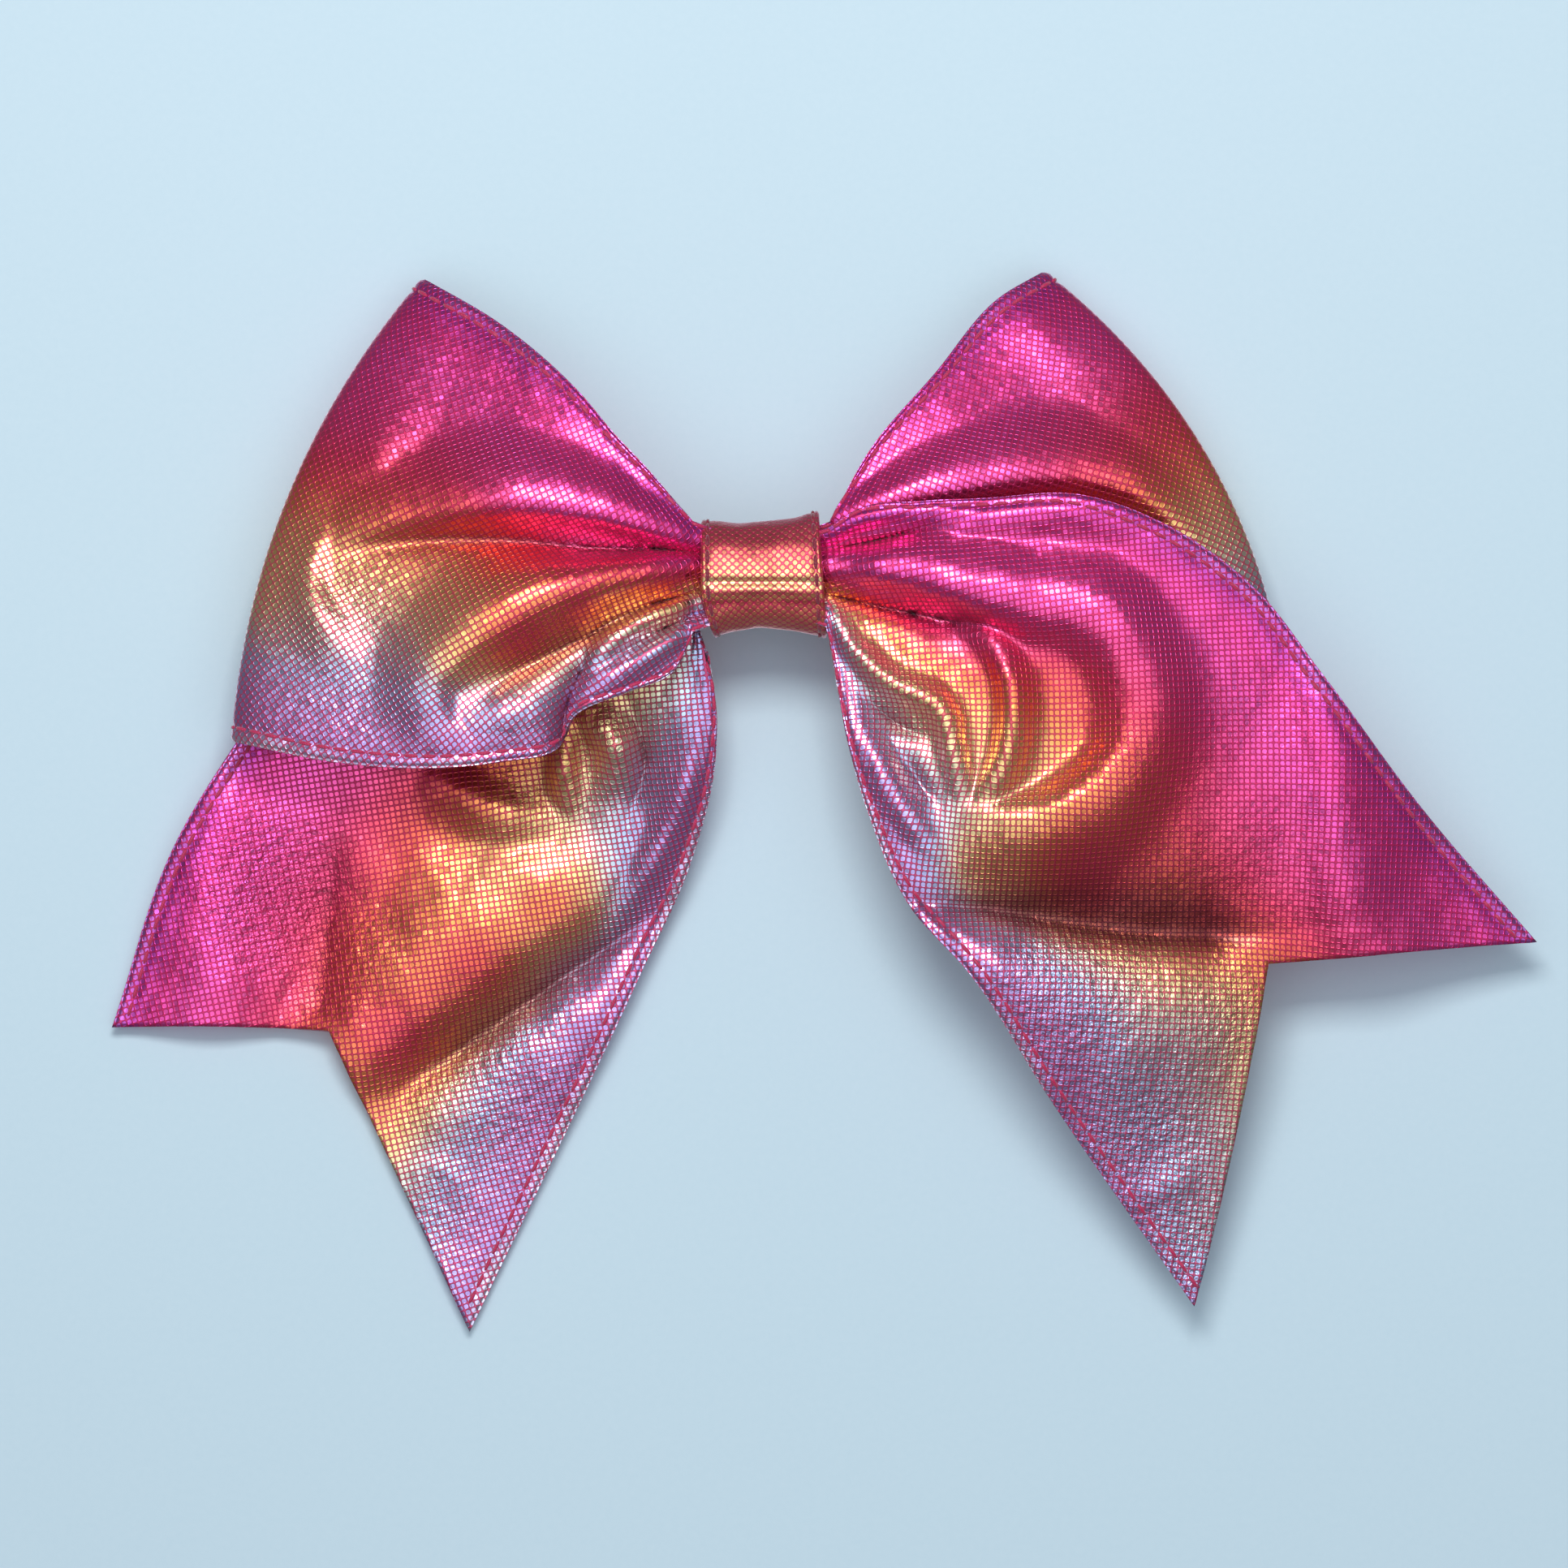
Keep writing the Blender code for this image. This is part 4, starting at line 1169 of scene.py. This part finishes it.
def build_wrap():
    angle, along, outer, inner = wrap_grid()
    steps = np.linalg.norm(np.diff(outer, axis=0), axis=-1).mean(axis=1)
    wound = np.concatenate([[0], np.cumsum(steps)])[:, None] + 0 * along
    across = along * WRAP_HALF_LENGTH
    # the wrap's ramp is read by height, so its painted highlight and shade bands run along the wrap's front
    share = 0.5 - outer[..., 1] / 19.0 * np.where(np.cos(angle) > 0, 1, 0.8)
    ribbon = np.stack([across, share * RIBBON_WIDTH], axis=-1)
    weave = np.stack([across, wound], axis=-1)
    # crinkling, with no painted crease shade on the wrap
    crinkled = np.stack([0.15 + 0 * across, 0 * across], axis=-1)
    uvs = [ribbon, weave, crinkled]
    found = sheet("knot_wrap_visual", placed(outer), placed(inner), uvs, WRAP_CLOTH, EDGE, False)
    on_knot(found, "knot_wrap")
    normals = unit(np.cross(np.gradient(outer, axis=0), np.gradient(outer, axis=1)))
    row, column = len(outer) // 2, outer.shape[1] // 2
    if normals[row, column] @ outer[row, column] < 0:
        normals = -normals
    inset = 1 - WRAP_HEM / WRAP_HALF_LENGTH
    hidden = len(outer) // 22  # rows at either end of the wrap that lie under its lap
    for name, side in (("left", -1), ("right", 1)):
        column = int(np.argmin(np.abs(along[0] - side * inset)))
        run = stitch_run(placed(outer[hidden:-hidden, column]), normals[hidden:-hidden, column], 0.6)
        thread = stitch_mesh(f"knot_wrap_stitching_{name}_visual", run, THREAD_DARK)
        on_knot(thread, f"knot_wrap_stitching_{name}")


def build_bundle():
    """The ribbon's gathered middle inside the knot: deep pleats drawn in by the thread."""
    length = 4.2
    along = np.linspace(-length, length, 24)[:, None]
    angle = np.linspace(0, 2 * math.pi, 240, endpoint=False)[None, :]
    along, angle = np.broadcast_arrays(along, angle)
    opening = ease(np.abs(along) / length)
    pleat = 1 + 0.09 * np.cos(22 * angle + 0.6 * np.sin(3 * angle)) * (1 - 0.4 * (1 - opening))
    y = (5.2 + 1.2 * opening) * pleat * boxy(np.cos(angle), CLOTH_SQUARENESS)
    z = (3.9 + 1.0 * opening) * pleat * boxy(np.sin(angle), CLOTH_SQUARENESS)
    points = placed(np.stack([along, y, z], axis=-1)).reshape(-1, 3)
    rows, count = angle.shape
    number = np.arange(rows * count).reshape(rows, count)
    after = np.roll(number, -1, axis=1)
    faces = np.stack([number[:-1], after[:-1], after[1:], number[1:]], axis=-1).reshape(-1, 4).tolist()
    faces += [number[0, ::-1].tolist(), number[-1].tolist()]
    ribbon = np.stack([along, (angle / math.pi - 1) ** 2 * RIBBON_WIDTH], axis=-1).reshape(-1, 2)
    weave = np.stack([along, angle * 6], axis=-1).reshape(-1, 2)
    found = mesh_object("pinched_ribbon_visual", points, faces, [CLOTH], [ribbon, weave, 0 * weave])
    on_knot(found, "pinched_ribbon")


def build_gathering_thread():
    """Five tight turns of thread round the waist of the gathered ribbon."""
    turns = 5
    angle = np.linspace(0, 2 * math.pi * turns, 60 * turns + 1)
    x = np.linspace(-1.4, 1.4, len(angle)) + 0.1 * np.sin(3.3 * angle)
    y = 5.7 * boxy(np.cos(angle), CLOTH_SQUARENESS)
    z = 4.3 * boxy(np.sin(angle), CLOTH_SQUARENESS)
    line = placed(np.stack([x, y, z], axis=-1))
    outwards = unit(np.stack([0 * x, y, z], axis=-1))
    found = stitch_mesh("gathering_thread_visual", [(line, outwards)], THREAD_RED)
    on_knot(found, "gathering_thread")


# The clip


def build_spring(wire):
    """The clip's torsion spring: its CAD node's mesh carried over in spring wire."""
    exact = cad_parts["clip_spring"]
    mesh = exact.data.copy()
    mesh.transform(exact.matrix_world)
    mesh.materials.clear()
    mesh.materials.append(wire)
    found = bpy.data.objects.new("clip_spring_visual", mesh)
    bpy.context.scene.collection.objects.link(found)
    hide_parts("clip_spring")
    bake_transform(found)


def finish_clip():
    """The clip keeps its exact parts, with their sheared edges broken and their own finishes."""
    nickel = steel_material("nickel_plated_steel", linear(150, 148, 146), 900)
    build_spring(steel_material("spring_wire_steel", linear(128, 130, 136), 2400))
    finishes = {
        "clip_base": (nickel, 0.12),
        "clip_lever": (nickel, 0.12),
        "clip_pivot_pin": (nickel, 0),
        "clip_glue_pad": (glue_material(), 0.3),
    }
    for name, (made, broken_edge) in finishes.items():
        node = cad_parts[name]
        node.data.materials.clear()
        node.data.materials.append(made)
        if broken_edge:
            bevel = node.modifiers.new("broken_edges", "BEVEL")
            bevel.width = broken_edge * MM
            bevel.segments = 2
            bevel.limit_method = "ANGLE"
            bevel.angle_limit = math.radians(40)


build_wrap()
build_bundle()
build_gathering_thread()
finish_clip()


# The stage

LAMP_PLACE = (-0.04, 0.33, 0.70)  # from the bow's middle, in metres
LAMP_SIZE = (0.28, 0.20)
LAMP_POWER = 3.3
LAMP_COLOUR = (1.0, 0.985, 0.97)
SKY_COLOUR = (0.88, 0.95, 1.04, 1)
SKY_HEIGHTS = (0.68, 0.99)  # sines of the height between which the light grows
SKY_POWERS = (0.17, 1.38)
FLOOR_SIZE = 6
FLOOR_GAP = 0.0004  # keeps the floor clear of the faces that rest on it
VIEW_WIDTH = 1.0985  # of the bow's own width
VIEW_SHIFT = (0.0035, -0.0314)  # from the knot's middle to the frame's
VIEW_LEVEL = 0.009  # the height at which the frame has that width


def linked(name, data, place):
    found = bpy.data.objects.new(name, data)
    found.location = place
    bpy.context.scene.collection.objects.link(found)
    return found


def key_lamp(centre):
    """One rectangular lamp, high above the bow's upper side and turned to face its middle."""
    lamp = bpy.data.lights.new("key", "AREA")
    lamp.shape = "RECTANGLE"
    lamp.size, lamp.size_y = LAMP_SIZE
    lamp.energy = LAMP_POWER
    lamp.color = LAMP_COLOUR
    track = linked("key", lamp, np.array(centre) + LAMP_PLACE).constraints.new("TRACK_TO")
    track.target = linked("key_aim", None, centre)
    track.track_axis = "TRACK_NEGATIVE_Z"
    track.up_axis = "UP_Y"


def studio_world():
    """A soft bright ceiling that falls away to dimmer walls, mirrored below the floor."""
    world = bpy.data.worlds.new("studio")
    bpy.context.scene.world = world
    n = Nodes(world)
    direction = n.add("ShaderNodeTexCoord").outputs["Generated"]
    height = n.math("ABSOLUTE", n.parts(direction)[2])
    light = n.add("ShaderNodeBackground")
    light.inputs["Color"].default_value = SKY_COLOUR
    n.link(n.span(height, *SKY_HEIGHTS, *SKY_POWERS), light.inputs["Strength"])
    n.output(light.outputs[0], "ShaderNodeOutputWorld")


def stage():
    centre = (CAD_LOW + CAD_HIGH) / 2
    bpy.ops.mesh.primitive_plane_add(size=FLOOR_SIZE, location=(centre.x, centre.y, CAD_LOW.z - FLOOR_GAP))
    floor = bpy.context.active_object
    floor.name = "floor"
    floor.data.materials.append(floor_material())
    studio_world()
    key_lamp(centre)


def camera():
    """Straight down, with the frame about 240 mm wide at the ribbon's height."""
    lens = bpy.data.cameras.new("camera")
    lens.lens = 300
    lens.sensor_width = 36
    lens.clip_start = 0.01
    width = VIEW_WIDTH * (CAD_HIGH.x - CAD_LOW.x)
    height = VIEW_LEVEL + width * lens.lens / lens.sensor_width
    place = (KNOT_X + VIEW_SHIFT[0], KNOT_Y + VIEW_SHIFT[1], height)
    bpy.context.scene.camera = linked("camera", lens, place)
    bpy.context.scene.view_settings.view_transform = "Standard"


stage()
camera()
